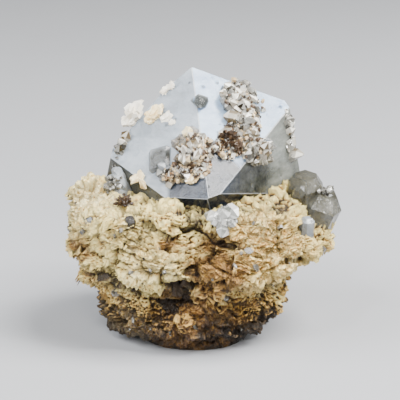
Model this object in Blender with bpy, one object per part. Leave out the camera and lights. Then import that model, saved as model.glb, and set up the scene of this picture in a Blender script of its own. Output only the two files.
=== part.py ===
"""Quartz paramorph: a squat two-ended quartz crystal on its matrix.

Sizes are in millimetres and are turned into metres when a mesh is made. The stone
stands on the flat of its underside at z = 0, with its front towards -Y. Small things
are placed as they are seen from the front, by their offset to the right and up from
the aim point, on the surface that the line of sight meets.
"""
import math

import bmesh
import bpy
import numpy as np

MM = 0.001
# Gap between neighbouring pieces
GAP = 0.3
# Points closer than this are merged after a Boolean, and flatter edges than this are dissolved
MERGE = 0.02
FLAT_ANGLE = math.radians(0.6)
QUARTZ_IOR = 1.544

# View from the front, which places the small things on the surfaces
VIEW_PITCH = math.radians(15.6)
VIEW_DISTANCE = 351.0
AIM = np.array([-0.5, -2.5, 24.6])

# Main crystal: a hexagonal dipyramid whose axis points to the front
CRYSTAL_CENTRE = np.array([-0.3, 7.6, 23.0])
CRYSTAL_AXIS = np.array([0.0, -0.999, -0.047])
CRYSTAL_UP = np.array([-0.165, -0.047, 0.985])
FACE_SLOPE = math.radians(51.8)
# Distances of the faces from the centre, clockwise from the upper right one
FRONT_FACES = (16.4, 14.5, 9.3, 7.8, 13.4, 14.7)
BACK_FACES = (17.1, 14.1, 14.6, 14.6, 14.8, 15.3)
BOTTOM_CUT = 12.5
# Broken places of the crystal, as a direction and a distance from the centre
BREAKS = (
    ((0.10, 0.99, 0.08), 9.9),
    ((-0.45, 0.85, 0.28), 11.2),
    ((0.15, 0.72, -0.68), 14.2),
    ((0.62, 0.70, 0.36), 16.3),
    ((-0.75, 0.25, 0.62), 16.6),
    ((-0.97, 0.05, 0.22), 17.2),
    ((0.93, 0.30, 0.20), 20.4),
)

# Front tip: a parallel crystal that stands proud of the lower faces, and is cut off above
TIP_RISE = (0.8, 0.5, 0.5, 0.5, 0.4, 1.5)
TIP_TOP = 5.6
TIP_LEFT = 5.4
TIP_RIGHT = 5.2
TIP_DEPTH = 6.0

# Matrix: how far it reaches from its upright axis, as (height, reach)
MATRIX_AXIS = (-1.0, 0.5)
MATRIX_LEFT = ((0.0, 10.4), (1.2, 12.6), (3.5, 15.9), (7.5, 16.4), (9.5, 18.2), (11.7, 20.6),
               (14.6, 21.2), (17.2, 21.4), (19.0, 22.6), (22.0, 23.2), (24.4, 22.8), (25.4, 20.4))
MATRIX_RIGHT = ((0.0, 9.0), (1.2, 10.4), (4.0, 13.6), (6.6, 15.6), (9.9, 16.8), (11.7, 17.9),
                (14.6, 19.6), (16.4, 21.6), (18.3, 23.2), (20.4, 22.4), (23.0, 20.4), (25.4, 17.8))
MATRIX_FRONT = ((0.0, 12.6), (3.0, 14.4), (8.0, 15.4), (12.0, 17.6), (16.0, 18.3), (20.0, 17.9),
                (24.0, 16.4), (25.4, 14.4))
MATRIX_BACK = ((0.0, 8.5), (3.0, 12.0), (7.0, 16.0), (11.0, 18.4), (17.0, 19.0), (22.0, 18.2),
               (25.4, 15.4))
MATRIX_RIM = 25.4
MATRIX_DOME = 0.6
MATRIX_SQUARENESS = 2.35
MATRIX_ROUND = 66
MATRIX_SIDE_ROWS = 23
MATRIX_TOP_ROWS = 5

# Lumps and hollows of the matrix: place (x, y, z), radius and rise
MATRIX_FORMS = (
    (-21.5, 1.0, 24.0, 4.0, 1.4),
    (-16.8, -5.0, 4.0, 3.6, 1.8),
    (-6.6, -17.5, 16.8, 3.6, 1.7),
    (-12.0, -15.5, 15.5, 3.0, 1.1),
    (-15.5, -13.5, 20.5, 3.4, 1.0),
    (-9.5, -16.5, 22.0, 2.6, -1.3),
    (-3.8, -15.5, 11.6, 3.2, -3.4),
    (-8.6, -15.0, 11.4, 2.6, -2.4),
    (-1.0, -15.0, 5.5, 4.0, 1.6),
    (-9.5, -13.0, 5.0, 3.0, 1.1),
    (-5.5, -18.0, 20.6, 1.5, -1.9),
    (2.5, -17.5, 19.0, 3.2, -0.9),
    (6.5, -16.0, 9.5, 2.6, -1.3),
    (7.5, -16.5, 15.0, 3.4, 0.9),
    (13.5, -13.5, 21.0, 3.8, 1.3),
    (14.5, -12.0, 14.5, 3.0, 1.2),
    (10.5, -15.0, 18.0, 1.8, -1.3),
    (19.5, -2.0, 17.0, 3.0, 0.9),
    (13.0, -8.0, 7.5, 3.0, 0.9),
    (-20.0, -8.5, 17.5, 3.0, 1.3),
    (-18.0, -9.5, 11.5, 2.2, -1.1),
    (0.0, 16.5, 12.0, 4.5, -1.6),
    (9.0, 14.5, 19.0, 4.0, 1.2),
    (-11.0, 14.0, 16.0, 4.5, 1.2),
    (-18.5, 9.5, 12.0, 3.0, -1.4),
    (15.5, 9.5, 12.0, 3.2, 1.2),
)
# Noise that breaks the surface up: size and height, from broad to fine
MATRIX_NOISE = ((8.0, 1.5), (3.7, 0.95), (2.1, 0.4))
MATRIX_TOP_CALM = 0.75
# Where the rim stands higher or lower: place (x, y), radius and rise
MATRIX_RIM_FORMS = (
    (-20.5, 1.5, 4.6, 2.6),
    (-12.0, -9.0, 4.5, -0.8),
    (17.0, 5.0, 5.0, 0.8),
    (2.0, 16.0, 9.0, 3.0),
)
MATRIX_RIM_START = 14.0
# Below this height the forms and the noise fade out towards the flat base
MATRIX_FOOT = 3.0
LEDGE_PITCH = 4.4
LEDGE_DEPTH = 0.32
LEDGE_TILT = (0.42, 0.10)

# Small clear crystals on the main crystal: centre (right, up), half size, number, length
DRUSE = (
    ((6.3, 18.0), (2.2, 2.3), 13, (1.5, 2.6)),
    ((7.9, 13.6), (2.3, 2.6), 13, (1.5, 2.5)),
    ((9.9, 8.0), (2.3, 1.9), 10, (1.5, 2.4)),
    ((-1.3, 8.6), (2.8, 2.2), 15, (1.7, 3.0)),
    ((2.6, 9.6), (1.6, 2.0), 6, (1.5, 2.6)),
    ((-5.2, 4.9), (1.9, 1.6), 9, (1.5, 2.4)),
)
DRUSE_RADIUS = 0.42
DRUSE_LEAN = 0.6
DRUSE_BLUNT = 0.22
DRUSE_SUNK = 1.1
# Turn from one small crystal of a cluster to the next, which spreads them evenly
DRUSE_TURN = 2.399
DRUSE_SEED = 11

# Clear crystals on the left shoulder of the main crystal: root, axis, length, radius, bluntness
SHOULDER_CRYSTALS = (
    ((-14.4, 0.8, 25.8), (-0.55, -0.45, 0.70), 3.3, 1.9, 0.45),
    ((-14.6, -0.4, 25.2), (-0.70, -0.65, 0.25), 2.6, 1.5, 0.4),
    ((-14.4, 1.8, 27.6), (-0.60, -0.20, 0.75), 2.2, 1.3, 0.4),
)
SHOULDER_SUNK = 1.6

# Crystals that grew into the upper faces
WINDOW_PLACE = (-7.0, 7.1)
WINDOW_SIZE = (4.2, 4.6, 1.6)
WINDOW_CHAMFER = 0.5
PYRAMID_PLACE = (0.0, 16.7)
PYRAMID_RADIUS = 1.8
PYRAMID_RISE = 1.7
PYRAMID_FOOT = 0.9
PYRAMID_ROOT = 2.2

# Form of every pointed crystal, in radii: foot, shoulder below the end, unevenness and skew
POINT_FOOT = 0.9
POINT_SHOULDER = 1.15
POINT_UNEVEN = 0.16
POINT_SKEW = 0.12

# Side crystal on the right shoulder, and its riders, in the same terms
SIDE_CRYSTAL = (
    ((17.9, 2.4, 18.5), (0.04, -0.10, 0.99), 9.4, 3.9, 0.62),
    ((19.6, 0.8, 18.6), (0.34, -0.20, 0.90), 7.0, 4.0, 0.6),
    ((20.4, 0.8, 23.0), (0.72, -0.45, 0.50), 3.2, 1.5, 0.55),
    ((17.2, -1.0, 24.6), (-0.15, -0.55, 0.80), 2.6, 1.5, 0.4),
)
SIDE_SUNK = 2.2

# Flakes and chips: place (right, up), size (long, wide, thick), turn in the face, tip-up
FELDSPAR_BLOCK = (
    ((-11.4, 15.5), (2.9, 3.8, 2.8), 12.0, 8.0),
    ((-12.3, 13.8), (2.0, 2.4, 2.2), 50.0, -10.0),
)
FELDSPAR_PLATE = (
    ((-7.9, 15.2), (3.8, 2.4, 1.2), 32.0, 8.0),
    ((-8.7, 14.0), (1.8, 1.5, 1.2), 10.0, -8.0),
)
EDGE_FLAKES = (
    ((-5.2, 19.9), (2.3, 1.1, 1.1), 40.0, 10.0),
    ((-6.2, 19.1), (1.5, 1.2, 1.0), 70.0, -12.0),
)
LEFT_FLAKES = (
    ((-10.8, 4.0), (3.0, 1.7, 1.0), 35.0, 10.0),
    ((-9.9, 2.8), (2.2, 1.5, 1.0), -20.0, -12.0),
)
CENTRE_FLAKES = (
    ((-1.4, 3.8), (3.0, 2.0, 1.5), 15.0, 18.0),
    ((-2.8, 4.6), (1.9, 1.4, 1.5), 60.0, -15.0),
    ((-0.2, 4.8), (1.8, 1.3, 1.4), -35.0, 20.0),
)
RUST_CLUMP = (
    ((4.6, 10.6), (3.2, 2.6, 2.2), 25.0, 12.0),
    ((6.2, 8.8), (2.8, 2.2, 1.8), -40.0, -10.0),
    ((3.9, 8.4), (1.8, 1.6, 1.6), 10.0, 15.0),
    ((5.0, 12.0), (1.8, 1.2, 2.2), 65.0, 20.0),
)
# Places that the small clear crystals keep clear of, with a radius
CLEARINGS = (((-1.5, 4.2), 3.1), ((5.3, 9.6), 3.9), ((-10.8, 4.0), 3.0))
CHIP_CHAMFER = 0.22
CHIP_LIFT = 0.3

# Chamfer of a block that sits in the matrix, as a share of its smallest size
SEATED_CHAMFER = 0.25
# Pieces seated in the matrix: centre, size, turn about the upright axis and lean
LEFT_GRAIN = ((-19.0, -9.0, 22.4), (3.0, 2.4, 3.2), 30.0, 15.0)
DARK_GRAIN = ((-12.4, -14.4, 24.0), (1.7, 1.9, 2.0), 20.0, 25.0)
QUARTZ_VEIN = ((18.0, -5.4, 18.4), (2.4, 2.4, 8.0), 25.0, 8.0)
RUST_TUFT = ((-13.6, -9.6, 26.0), (2.2, 1.8, 2.6), 40.0, 20.0)
# Clear cluster on the matrix under the front tip, in the same terms
FRONT_CRYSTALS = (
    ((4.0, -14.4, 25.2), (0.10, -0.60, 0.70), 3.0, 1.7, 0.35),
    ((2.3, -14.4, 25.4), (-0.50, -0.50, 0.60), 2.6, 1.3, 0.3),
    ((5.8, -14.4, 24.8), (0.60, -0.60, 0.35), 2.7, 1.3, 0.3),
    ((3.0, -15.2, 23.6), (-0.25, -0.85, 0.10), 2.7, 1.3, 0.3),
    ((5.0, -15.2, 23.2), (0.30, -0.85, -0.15), 2.6, 1.2, 0.3),
)
FRONT_SUNK = 2.0


def clear_scene():
    """Remove every object of the scene."""
    for thing in list(bpy.data.objects):
        bpy.data.objects.remove(thing, do_unlink=True)


def material(name, colour, roughness, transmission=0.0):
    """Make a Principled material with one colour."""
    made = bpy.data.materials.new(name)
    made.use_nodes = True
    shader = made.node_tree.nodes["Principled BSDF"]
    shader.inputs["Base Color"].default_value = (*colour, 1.0)
    shader.inputs["Roughness"].default_value = roughness
    shader.inputs["Transmission Weight"].default_value = transmission
    shader.inputs["IOR"].default_value = QUARTZ_IOR
    return made


def unit(vector):
    """Scale a vector to length one."""
    vector = np.asarray(vector, dtype=float)
    return vector / np.linalg.norm(vector)


def add_object(name, mesh):
    """Link a mesh to the scene as a named object."""
    thing = bpy.data.objects.new(name, mesh)
    bpy.context.scene.collection.objects.link(thing)
    return thing


def hull_object(name, points):
    """Make the closed convex solid round some points."""
    work = bmesh.new()
    for point in points:
        work.verts.new([MM * value for value in point])
    result = bmesh.ops.convex_hull(work, input=work.verts)
    loose = [item for item in result["geom_interior"] if isinstance(item, bmesh.types.BMVert)]
    bmesh.ops.delete(work, geom=loose, context="VERTS")
    bmesh.ops.dissolve_limit(work, angle_limit=FLAT_ANGLE, verts=work.verts, edges=work.edges)
    bmesh.ops.recalc_face_normals(work, faces=work.faces)
    mesh = bpy.data.meshes.new(name)
    work.to_mesh(mesh)
    work.free()
    return add_object(name, mesh)


def combine(target, others, operation):
    """Apply one exact Boolean after another to the target, and remove the others."""
    for other in others:
        step = target.modifiers.new("combine", "BOOLEAN")
        step.operation = operation
        step.solver = "EXACT"
        step.object = other
        view = bpy.context.evaluated_depsgraph_get()
        mesh = bpy.data.meshes.new_from_object(target.evaluated_get(view))
        target.modifiers.remove(step)
        target.data = mesh
        bpy.data.objects.remove(other, do_unlink=True)
    return target


def remove_crumbs(work):
    """Delete every loose part of a mesh but the one with the most faces."""
    waiting = set(work.faces)
    parts = []
    while waiting:
        front = [waiting.pop()]
        part = []
        while front:
            face = front.pop()
            part.append(face)
            beside = {other for edge in face.edges if edge.is_manifold
                      for other in edge.link_faces}
            front += beside & waiting
            waiting -= beside
        parts.append(part)
    parts.sort(key=len)
    crumbs = [face for part in parts[:-1] for face in part]
    bmesh.ops.delete(work, geom=crumbs, context="FACES")
    loose = [vert for vert in work.verts if not vert.link_faces]
    bmesh.ops.delete(work, geom=loose, context="VERTS")


def finish_object(thing, finish):
    """Merge the points that a Boolean left in one place, and set the material."""
    work = bmesh.new()
    work.from_mesh(thing.data)
    bmesh.ops.remove_doubles(work, verts=work.verts, dist=MERGE * MM)
    bmesh.ops.dissolve_degenerate(work, edges=work.edges, dist=MERGE * MM)
    bmesh.ops.triangulate(work, faces=work.faces)
    remove_crumbs(work)
    work.to_mesh(thing.data)
    work.free()
    thing.data.materials.clear()
    thing.data.materials.append(finish)


# Main crystal


def crystal_frame():
    """Give the crystal's axis and the two directions across it, up and right."""
    axis = unit(CRYSTAL_AXIS)
    up = unit(CRYSTAL_UP - np.dot(CRYSTAL_UP, axis) * axis)
    return axis, up, np.cross(up, axis)


def face_normals(side):
    """Give the six face normals of one end; side is 1 for the front and -1 for the back."""
    axis, up, right = crystal_frame()
    turns = np.radians(30.0 + 60.0 * np.arange(6))
    across = np.outer(np.cos(turns), up) + np.outer(np.sin(turns), right)
    return math.sin(FACE_SLOPE) * across + side * math.cos(FACE_SLOPE) * axis


def corner_points(planes):
    """Find the corners of the solid that lies behind every plane (normal, distance)."""
    normals = np.array([plane[0] for plane in planes])
    reach = np.array([plane[1] for plane in planes])
    corners = []
    count = len(planes)
    for a in range(count):
        for b in range(a + 1, count):
            for c in range(b + 1, count):
                three = normals[[a, b, c]]
                if abs(np.linalg.det(three)) < 1e-6:
                    continue
                point = np.linalg.solve(three, reach[[a, b, c]])
                if np.all(normals @ point <= reach + 1e-6):
                    corners.append(point)
    return np.array(corners)


def body_planes(spare=0.0):
    """List the planes of the main crystal, moved out by a spare distance."""
    planes = [(normal, reach + spare) for normal, reach in zip(face_normals(1), FRONT_FACES)]
    planes += [(normal, reach + spare) for normal, reach in zip(face_normals(-1), BACK_FACES)]
    planes += [(unit(way), reach + spare) for way, reach in BREAKS]
    planes.append((np.array([0.0, 0.0, -1.0]), BOTTOM_CUT + spare))
    return planes


def tip_planes(spare=0.0):
    """List the planes of the parallel front tip, moved out by a spare distance."""
    axis, up, right = crystal_frame()
    reaches = [base + rise for base, rise in zip(FRONT_FACES, TIP_RISE)]
    planes = [(normal, reach + spare) for normal, reach in zip(face_normals(1), reaches)]
    planes.append((unit(up + 0.25 * axis), TIP_TOP + spare))
    planes.append((unit(-right + 0.5 * up), TIP_LEFT + spare))
    planes.append((unit(right + 0.45 * up), TIP_RIGHT + spare))
    planes.append((-axis, -TIP_DEPTH + spare))
    return planes


def crystal_piece(name, planes):
    """Make one convex crystal from its planes about the crystal's centre."""
    return hull_object(name, corner_points(planes) + CRYSTAL_CENTRE)


def view_axes():
    """Give the directions right, up and towards the viewer of the front view."""
    towards = np.array([0.0, -math.cos(VIEW_PITCH), math.sin(VIEW_PITCH)])
    right = np.array([1.0, 0.0, 0.0])
    return right, np.cross(towards, right), towards


def on_crystal(place):
    """Find where the line of sight at (right, up) meets the crystal, and the face there."""
    right, up, towards = view_axes()
    eye = AIM + VIEW_DISTANCE * towards
    way = unit(place[0] * right + place[1] * up - VIEW_DISTANCE * towards)
    best_depth, best_normal = -1e9, None
    for normal, reach in zip(face_normals(1), FRONT_FACES):
        steepness = float(np.dot(normal, way))
        if steepness < -1e-6:
            depth = (reach - float(np.dot(normal, eye - CRYSTAL_CENTRE))) / steepness
            if depth > best_depth:
                best_depth, best_normal = depth, normal
    return eye + best_depth * way, best_normal


def cross_axes(axis):
    """Give two directions square to an axis and to each other."""
    helper = np.array([0.0, 0.0, 1.0]) if abs(axis[2]) < 0.8 else np.array([1.0, 0.0, 0.0])
    first = unit(np.cross(axis, helper))
    return first, np.cross(axis, first)


def quartz_point(name, root, axis, length, radius, turn, sunk, blunt):
    """Make a six-sided crystal with a pointed or blunt end, sunk into what it grows on."""
    axis = unit(axis)
    first, second = cross_axes(axis)
    angles = turn + np.radians(60.0 * np.arange(6))
    ring = np.outer(np.cos(angles), first) + np.outer(np.sin(angles), second)
    uneven = 1.0 + POINT_UNEVEN * np.cos(2.0 * angles + turn)
    ring = ring * radius * uneven[:, None]
    shoulder = length - (1.0 - blunt) * POINT_SHOULDER * radius
    points = [root - sunk * axis + POINT_FOOT * ring, root + shoulder * axis + ring,
              root + length * axis + blunt * ring + POINT_SKEW * ring[0]]
    return hull_object(name, np.concatenate(points))


def grown_points(table, sunk, spare=0.0):
    """Make the pointed crystals of a table, grown by a spare distance."""
    return [quartz_point("point", np.array(root), axis, length + spare,
                         radius + POINT_SHOULDER * spare,
                         0.4 * turn, sunk + spare, blunt)
            for turn, (root, axis, length, radius, blunt) in enumerate(table)]


def druse_crystals():
    """Make the small clear crystals of every cluster on the main crystal."""
    chance = np.random.default_rng(DRUSE_SEED)
    made = []
    for centre, half, count, lengths in DRUSE:
        for index in range(count):
            turn = DRUSE_TURN * index + chance.uniform(0.0, 0.5)
            reach = math.sqrt((index + 0.5) / count)
            place = (centre[0] + half[0] * reach * math.cos(turn),
                     centre[1] + half[1] * reach * math.sin(turn))
            if any(math.dist(place, spot) < clear for spot, clear in CLEARINGS):
                continue
            point, normal = on_crystal(place)
            lean = normal + DRUSE_LEAN * chance.uniform(-1.0, 1.0, 3)
            length = chance.uniform(*lengths)
            radius = DRUSE_RADIUS * length
            made.append(quartz_point("druse", point, lean, length, radius,
                                     chance.uniform(0.0, 1.0), DRUSE_SUNK * radius, DRUSE_BLUNT))
    return made


def chip_points(centre, size, axes, chamfer):
    """Give the corners of a box along three axes whose edges are cut by a chamfer."""
    corners = []
    for signs in np.ndindex(2, 2, 2):
        sign = 2.0 * np.array(signs) - 1.0
        for kept in range(3):
            half = 0.5 * np.array(size) - chamfer
            half[kept] += chamfer
            corners.append(centre + (sign * half) @ axes)
    return np.array(corners)


def window_crystal():
    """Make the flat clear crystal that looks out of the upper left face."""
    point, normal = on_crystal(WINDOW_PLACE)
    right = view_axes()[0]
    side = unit(right - np.dot(right, normal) * normal)
    axes = np.array([side, np.cross(normal, side), normal])
    return hull_object("window", chip_points(point, WINDOW_SIZE, axes, WINDOW_CHAMFER))


def embedded_pyramid():
    """Make the small pyramid that stands on the edge between the two upper faces."""
    point = on_crystal(PYRAMID_PLACE)[0]
    axis, up, right = crystal_frame()
    angles = np.radians(60.0 * np.arange(6))
    ring = np.outer(np.cos(angles), up) + np.outer(np.sin(angles), right)
    points = np.concatenate([point + PYRAMID_RADIUS * ring - PYRAMID_FOOT * axis,
                             (point + PYRAMID_RISE * axis)[None, :],
                             (point - PYRAMID_ROOT * axis)[None, :]])
    return hull_object("pyramid", points)


def main_crystal(finish):
    """Join the body, the front tip and all that grew on them into one solid."""
    body = crystal_piece("main_crystal", body_planes())
    grown = [crystal_piece("tip", tip_planes()), window_crystal(), embedded_pyramid()]
    grown += grown_points(SHOULDER_CRYSTALS, SHOULDER_SUNK)
    grown += druse_crystals()
    combine(body, grown, "UNION")
    finish_object(body, finish)
    return body


# Matrix


def lattice_value(cells, seed):
    """Give each whole-number cell a fixed value from -1 to 1."""
    mixed = (cells[..., 0] * 73856093) ^ (cells[..., 1] * 19349663) ^ (cells[..., 2] * 83492791)
    mixed = (mixed + seed * 2654435761) & 0xFFFFFFFF
    mixed = ((mixed ^ (mixed >> 15)) * 2246822519) & 0xFFFFFFFF
    mixed = ((mixed ^ (mixed >> 13)) * 3266489917) & 0xFFFFFFFF
    return (mixed & 0xFFFF) / 32767.5 - 1.0


def value_noise(points, seed):
    """Blend the values at the corners of each point's cell with a smooth step."""
    base = np.floor(points).astype(np.int64)
    part = points - base
    part = part * part * (3.0 - 2.0 * part)
    total = np.zeros(points.shape[:-1])
    for corner in np.ndindex(2, 2, 2):
        offset = np.array(corner)
        weight = np.prod(np.where(offset == 1, part, 1.0 - part), axis=-1)
        total += weight * lattice_value(base + offset, seed)
    return total


def matrix_reach(table, height):
    """Read how far the matrix reaches at a height."""
    heights = [row[0] for row in table]
    reaches = [row[1] for row in table]
    return np.interp(height, heights, reaches)


def matrix_grid(columns, rows, top_rows):
    """Give the plain form of the matrix as rows of points, from the base to the top.

    A row is a rounded square whose four sides reach as far as the tables say. The last
    rows draw in over the top as a low dome.
    """
    angle = np.linspace(0.0, 2.0 * math.pi, columns, endpoint=False)[None, :]
    side = np.linspace(0.0, MATRIX_RIM, rows)
    over = np.linspace(0.0, 1.0, top_rows + 2)[1:-1]
    height = np.concatenate([side, MATRIX_RIM + MATRIX_DOME * np.sin(0.5 * math.pi * over)])[:, None]
    drawn_in = np.concatenate([np.ones(rows), 1.0 - over])[:, None]
    power = 2.0 / MATRIX_SQUARENESS
    across = np.sign(np.cos(angle)) * np.abs(np.cos(angle)) ** power
    along = np.sign(np.sin(angle)) * np.abs(np.sin(angle)) ** power
    x_reach = np.where(across > 0.0, matrix_reach(MATRIX_RIGHT, height),
                       matrix_reach(MATRIX_LEFT, height))
    y_reach = np.where(along > 0.0, matrix_reach(MATRIX_BACK, height),
                       matrix_reach(MATRIX_FRONT, height))
    x = MATRIX_AXIS[0] + across * x_reach * drawn_in
    y = MATRIX_AXIS[1] + along * y_reach * drawn_in
    share = np.clip((height - MATRIX_RIM_START) / (MATRIX_RIM - MATRIX_RIM_START), 0.0, 1.0)
    lift = sum(rise * np.exp(-((x - place_x) ** 2 + (y - place_y) ** 2) / radius ** 2)
               for place_x, place_y, radius, rise in MATRIX_RIM_FORMS)
    return np.stack([x, y, height + share * lift], axis=-1)


def grid_normals(grid):
    """Give the outward direction at each grid point from its neighbours."""
    round_way = np.roll(grid, -1, axis=1) - np.roll(grid, 1, axis=1)
    up_way = np.gradient(grid, axis=0)
    normals = np.cross(round_way, up_way)
    return normals / np.maximum(np.linalg.norm(normals, axis=-1, keepdims=True), 1e-9)


def matrix_rise(points):
    """Say how far each point of the matrix stands out: forms, ledges and noise."""
    rise = np.zeros(points.shape[:-1])
    for x, y, z, radius, height in MATRIX_FORMS:
        away = np.linalg.norm(points - np.array([x, y, z]), axis=-1)
        rise += height * np.exp(-(away / radius) ** 2)
    layer = (points[..., 2] + LEDGE_TILT[0] * points[..., 0] + LEDGE_TILT[1] * points[..., 1]
             + 0.9 * value_noise(points / 6.0, 5)) / LEDGE_PITCH
    step = layer - np.floor(layer)
    rise += LEDGE_DEPTH * (2.0 * step - 1.0)
    for seed, (size, height) in enumerate(MATRIX_NOISE):
        rise += height * value_noise(points / size, seed)
    foot = np.clip(points[..., 2] / MATRIX_FOOT, 0.0, 1.0)
    top = np.clip(points[..., 2] - (MATRIX_RIM - 1.5), 0.0, 1.0)
    return rise * foot * (1.0 - MATRIX_TOP_CALM * top)


def matrix_body():
    """Make the matrix as one closed mesh: grid rows with a flat base and a closed top."""
    grid = matrix_grid(MATRIX_ROUND, MATRIX_SIDE_ROWS, MATRIX_TOP_ROWS)
    grid = grid + grid_normals(grid) * matrix_rise(grid)[..., None]
    grid[..., 2] = np.maximum(grid[..., 2], 0.0)
    grid[0, :, 2] = 0.0
    rows, columns = grid.shape[:2]
    work = bmesh.new()
    made = [[work.verts.new(MM * grid[row, column]) for column in range(columns)]
            for row in range(rows)]
    for row in range(rows - 1):
        for column in range(columns):
            after = (column + 1) % columns
            work.faces.new([made[row][column], made[row][after],
                            made[row + 1][after], made[row + 1][column]])
    work.faces.new(list(reversed(made[0])))
    middle = work.verts.new(MM * grid[-1].mean(axis=0))
    for column in range(columns):
        work.faces.new([made[-1][column], made[-1][(column + 1) % columns], middle])
    bmesh.ops.triangulate(work, faces=work.faces)
    bmesh.ops.recalc_face_normals(work, faces=work.faces)
    mesh = bpy.data.meshes.new("matrix")
    work.to_mesh(mesh)
    work.free()
    return add_object("matrix", mesh)


def seated_chip(name, table, spare=0.0):
    """Make a chamfered block at a place, turned and leaned, grown by a spare distance."""
    centre, size, turn, lean = table
    turn, lean = math.radians(turn), math.radians(lean)
    first = np.array([math.cos(turn), math.sin(turn), 0.0])
    second = np.array([-math.sin(turn) * math.cos(lean), math.cos(turn) * math.cos(lean),
                       math.sin(lean)])
    axes = np.array([first, second, np.cross(first, second)])
    grown = np.array(size) + 2.0 * spare
    return hull_object(name, chip_points(np.array(centre), grown, axes,
                                         SEATED_CHAMFER * min(size)))


def face_chip(place, size, turn, tip_up):
    """Make a chip that lies on the crystal face seen at a place."""
    point, normal = on_crystal(place)
    right = view_axes()[0]
    side = unit(right - np.dot(right, normal) * normal)
    turn, tip_up = math.radians(turn), math.radians(tip_up)
    first = math.cos(turn) * side + math.sin(turn) * np.cross(normal, side)
    second = np.cross(normal, first)
    raised = math.cos(tip_up) * normal + math.sin(tip_up) * second
    axes = np.array([first, np.cross(raised, first), raised])
    centre = point + (GAP + CHIP_LIFT * size[2]) * normal
    return hull_object("chip", chip_points(centre, size, axes, CHIP_CHAMFER))


def chips(name, table, finish):
    """Join the chips of a table and cut them clear of the crystal they lie on."""
    made = [face_chip(*row) for row in table]
    body = combine(made[0], made[1:], "UNION")
    body.name = name
    combine(body, [crystal_piece("clear", body_planes(GAP)),
                   crystal_piece("clear", tip_planes(GAP))], "DIFFERENCE")
    finish_object(body, finish)
    return body


def matrix(finish):
    """Cut the seats of everything that sits in the matrix."""
    body = matrix_body()
    seats = [crystal_piece("seat", body_planes(GAP)), crystal_piece("seat", tip_planes(GAP))]
    seats += grown_points(SHOULDER_CRYSTALS, SHOULDER_SUNK, GAP)
    seats += grown_points(SIDE_CRYSTAL, SIDE_SUNK, GAP)
    seats += grown_points(FRONT_CRYSTALS, FRONT_SUNK, GAP)
    seats += [seated_chip("seat", table, GAP)
              for table in (LEFT_GRAIN, DARK_GRAIN, QUARTZ_VEIN, RUST_TUFT)]
    combine(body, seats, "DIFFERENCE")
    finish_object(body, finish)
    return body


def point_cluster(name, table, sunk, finish):
    """Join the pointed crystals of a table into one solid."""
    parts = grown_points(table, sunk)
    body = combine(parts[0], parts[1:], "UNION")
    body.name = name
    finish_object(body, finish)
    return body


def single_chip(name, table, finish):
    """Make one block that sits in the matrix."""
    body = seated_chip(name, table)
    finish_object(body, finish)
    return body


def main():
    """Build every piece."""
    clear_scene()
    quartz = material("clear quartz", (0.78, 0.81, 0.86), 0.12, 0.6)
    rock = material("mica and feldspar", (0.55, 0.42, 0.27), 0.8)
    feldspar = material("feldspar", (0.86, 0.80, 0.68), 0.55)
    rust = material("iron-stained mica", (0.22, 0.11, 0.05), 0.7)
    dark = material("dark grain", (0.06, 0.05, 0.05), 0.25)
    main_crystal(quartz)
    point_cluster("side_crystal", SIDE_CRYSTAL, SIDE_SUNK, quartz)
    point_cluster("front_crystals", FRONT_CRYSTALS, FRONT_SUNK, quartz)
    matrix(rock)
    single_chip("quartz_vein", QUARTZ_VEIN, quartz)
    single_chip("left_grain", LEFT_GRAIN, quartz)
    single_chip("dark_grain", DARK_GRAIN, dark)
    single_chip("rust_tuft", RUST_TUFT, rust)
    chips("feldspar_block", FELDSPAR_BLOCK, feldspar)
    chips("feldspar_plate", FELDSPAR_PLATE, feldspar)
    chips("edge_flakes", EDGE_FLAKES, feldspar)
    chips("left_flakes", LEFT_FLAKES, feldspar)
    chips("centre_flakes", CENTRE_FLAKES, feldspar)
    chips("rust_clump", RUST_CLUMP, rust)


main()
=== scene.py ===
"""Looks of a quartz paramorph: a squat clear crystal on a craggy mica matrix.

Lengths are in millimetres and are turned into metres when a mesh is made. Shapes are
worked out with numpy as whole arrays. The front is -Y and the stone stands on z = 0.
"""

import logging
import math
from dataclasses import dataclass
from enum import Enum
from functools import cached_property, reduce

import bpy
import numpy as np
from mathutils import Matrix, Vector
from mathutils.bvhtree import BVHTree
from numpy.typing import NDArray


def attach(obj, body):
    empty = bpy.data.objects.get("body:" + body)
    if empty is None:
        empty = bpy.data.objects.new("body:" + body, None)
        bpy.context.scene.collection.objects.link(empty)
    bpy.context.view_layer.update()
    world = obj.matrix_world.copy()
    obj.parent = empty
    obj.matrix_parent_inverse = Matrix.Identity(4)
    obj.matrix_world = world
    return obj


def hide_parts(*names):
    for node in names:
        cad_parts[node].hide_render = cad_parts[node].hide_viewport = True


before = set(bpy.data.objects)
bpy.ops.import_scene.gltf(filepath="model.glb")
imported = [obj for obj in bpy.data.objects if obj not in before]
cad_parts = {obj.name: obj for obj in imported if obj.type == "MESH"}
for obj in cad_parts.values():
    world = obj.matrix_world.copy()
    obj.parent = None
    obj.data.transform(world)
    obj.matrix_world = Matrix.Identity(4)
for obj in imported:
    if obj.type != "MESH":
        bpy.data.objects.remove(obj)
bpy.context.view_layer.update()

MM = 0.001
QUARTZ_IOR = 1.544
# The widest spin of a small copy, in radians: a little over a full turn
WIDEST_SPIN = 6.3
# The lowest that the points of a small piece lie above the ground
GROUND_GAP = 0.02
LOG = logging.getLogger("specimen")
Points = NDArray[np.float64]
Faces = NDArray[np.int64]
Pair = tuple[float, float]
Triple = tuple[float, float, float]
Colour = tuple[float, float, float]
Socket = bpy.types.NodeSocket
# What the inputs of a node are fed, by name or number: a socket to join, or a value to set
Inputs = dict[str | int, Socket | float | Triple]


# Numbers and directions


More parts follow.
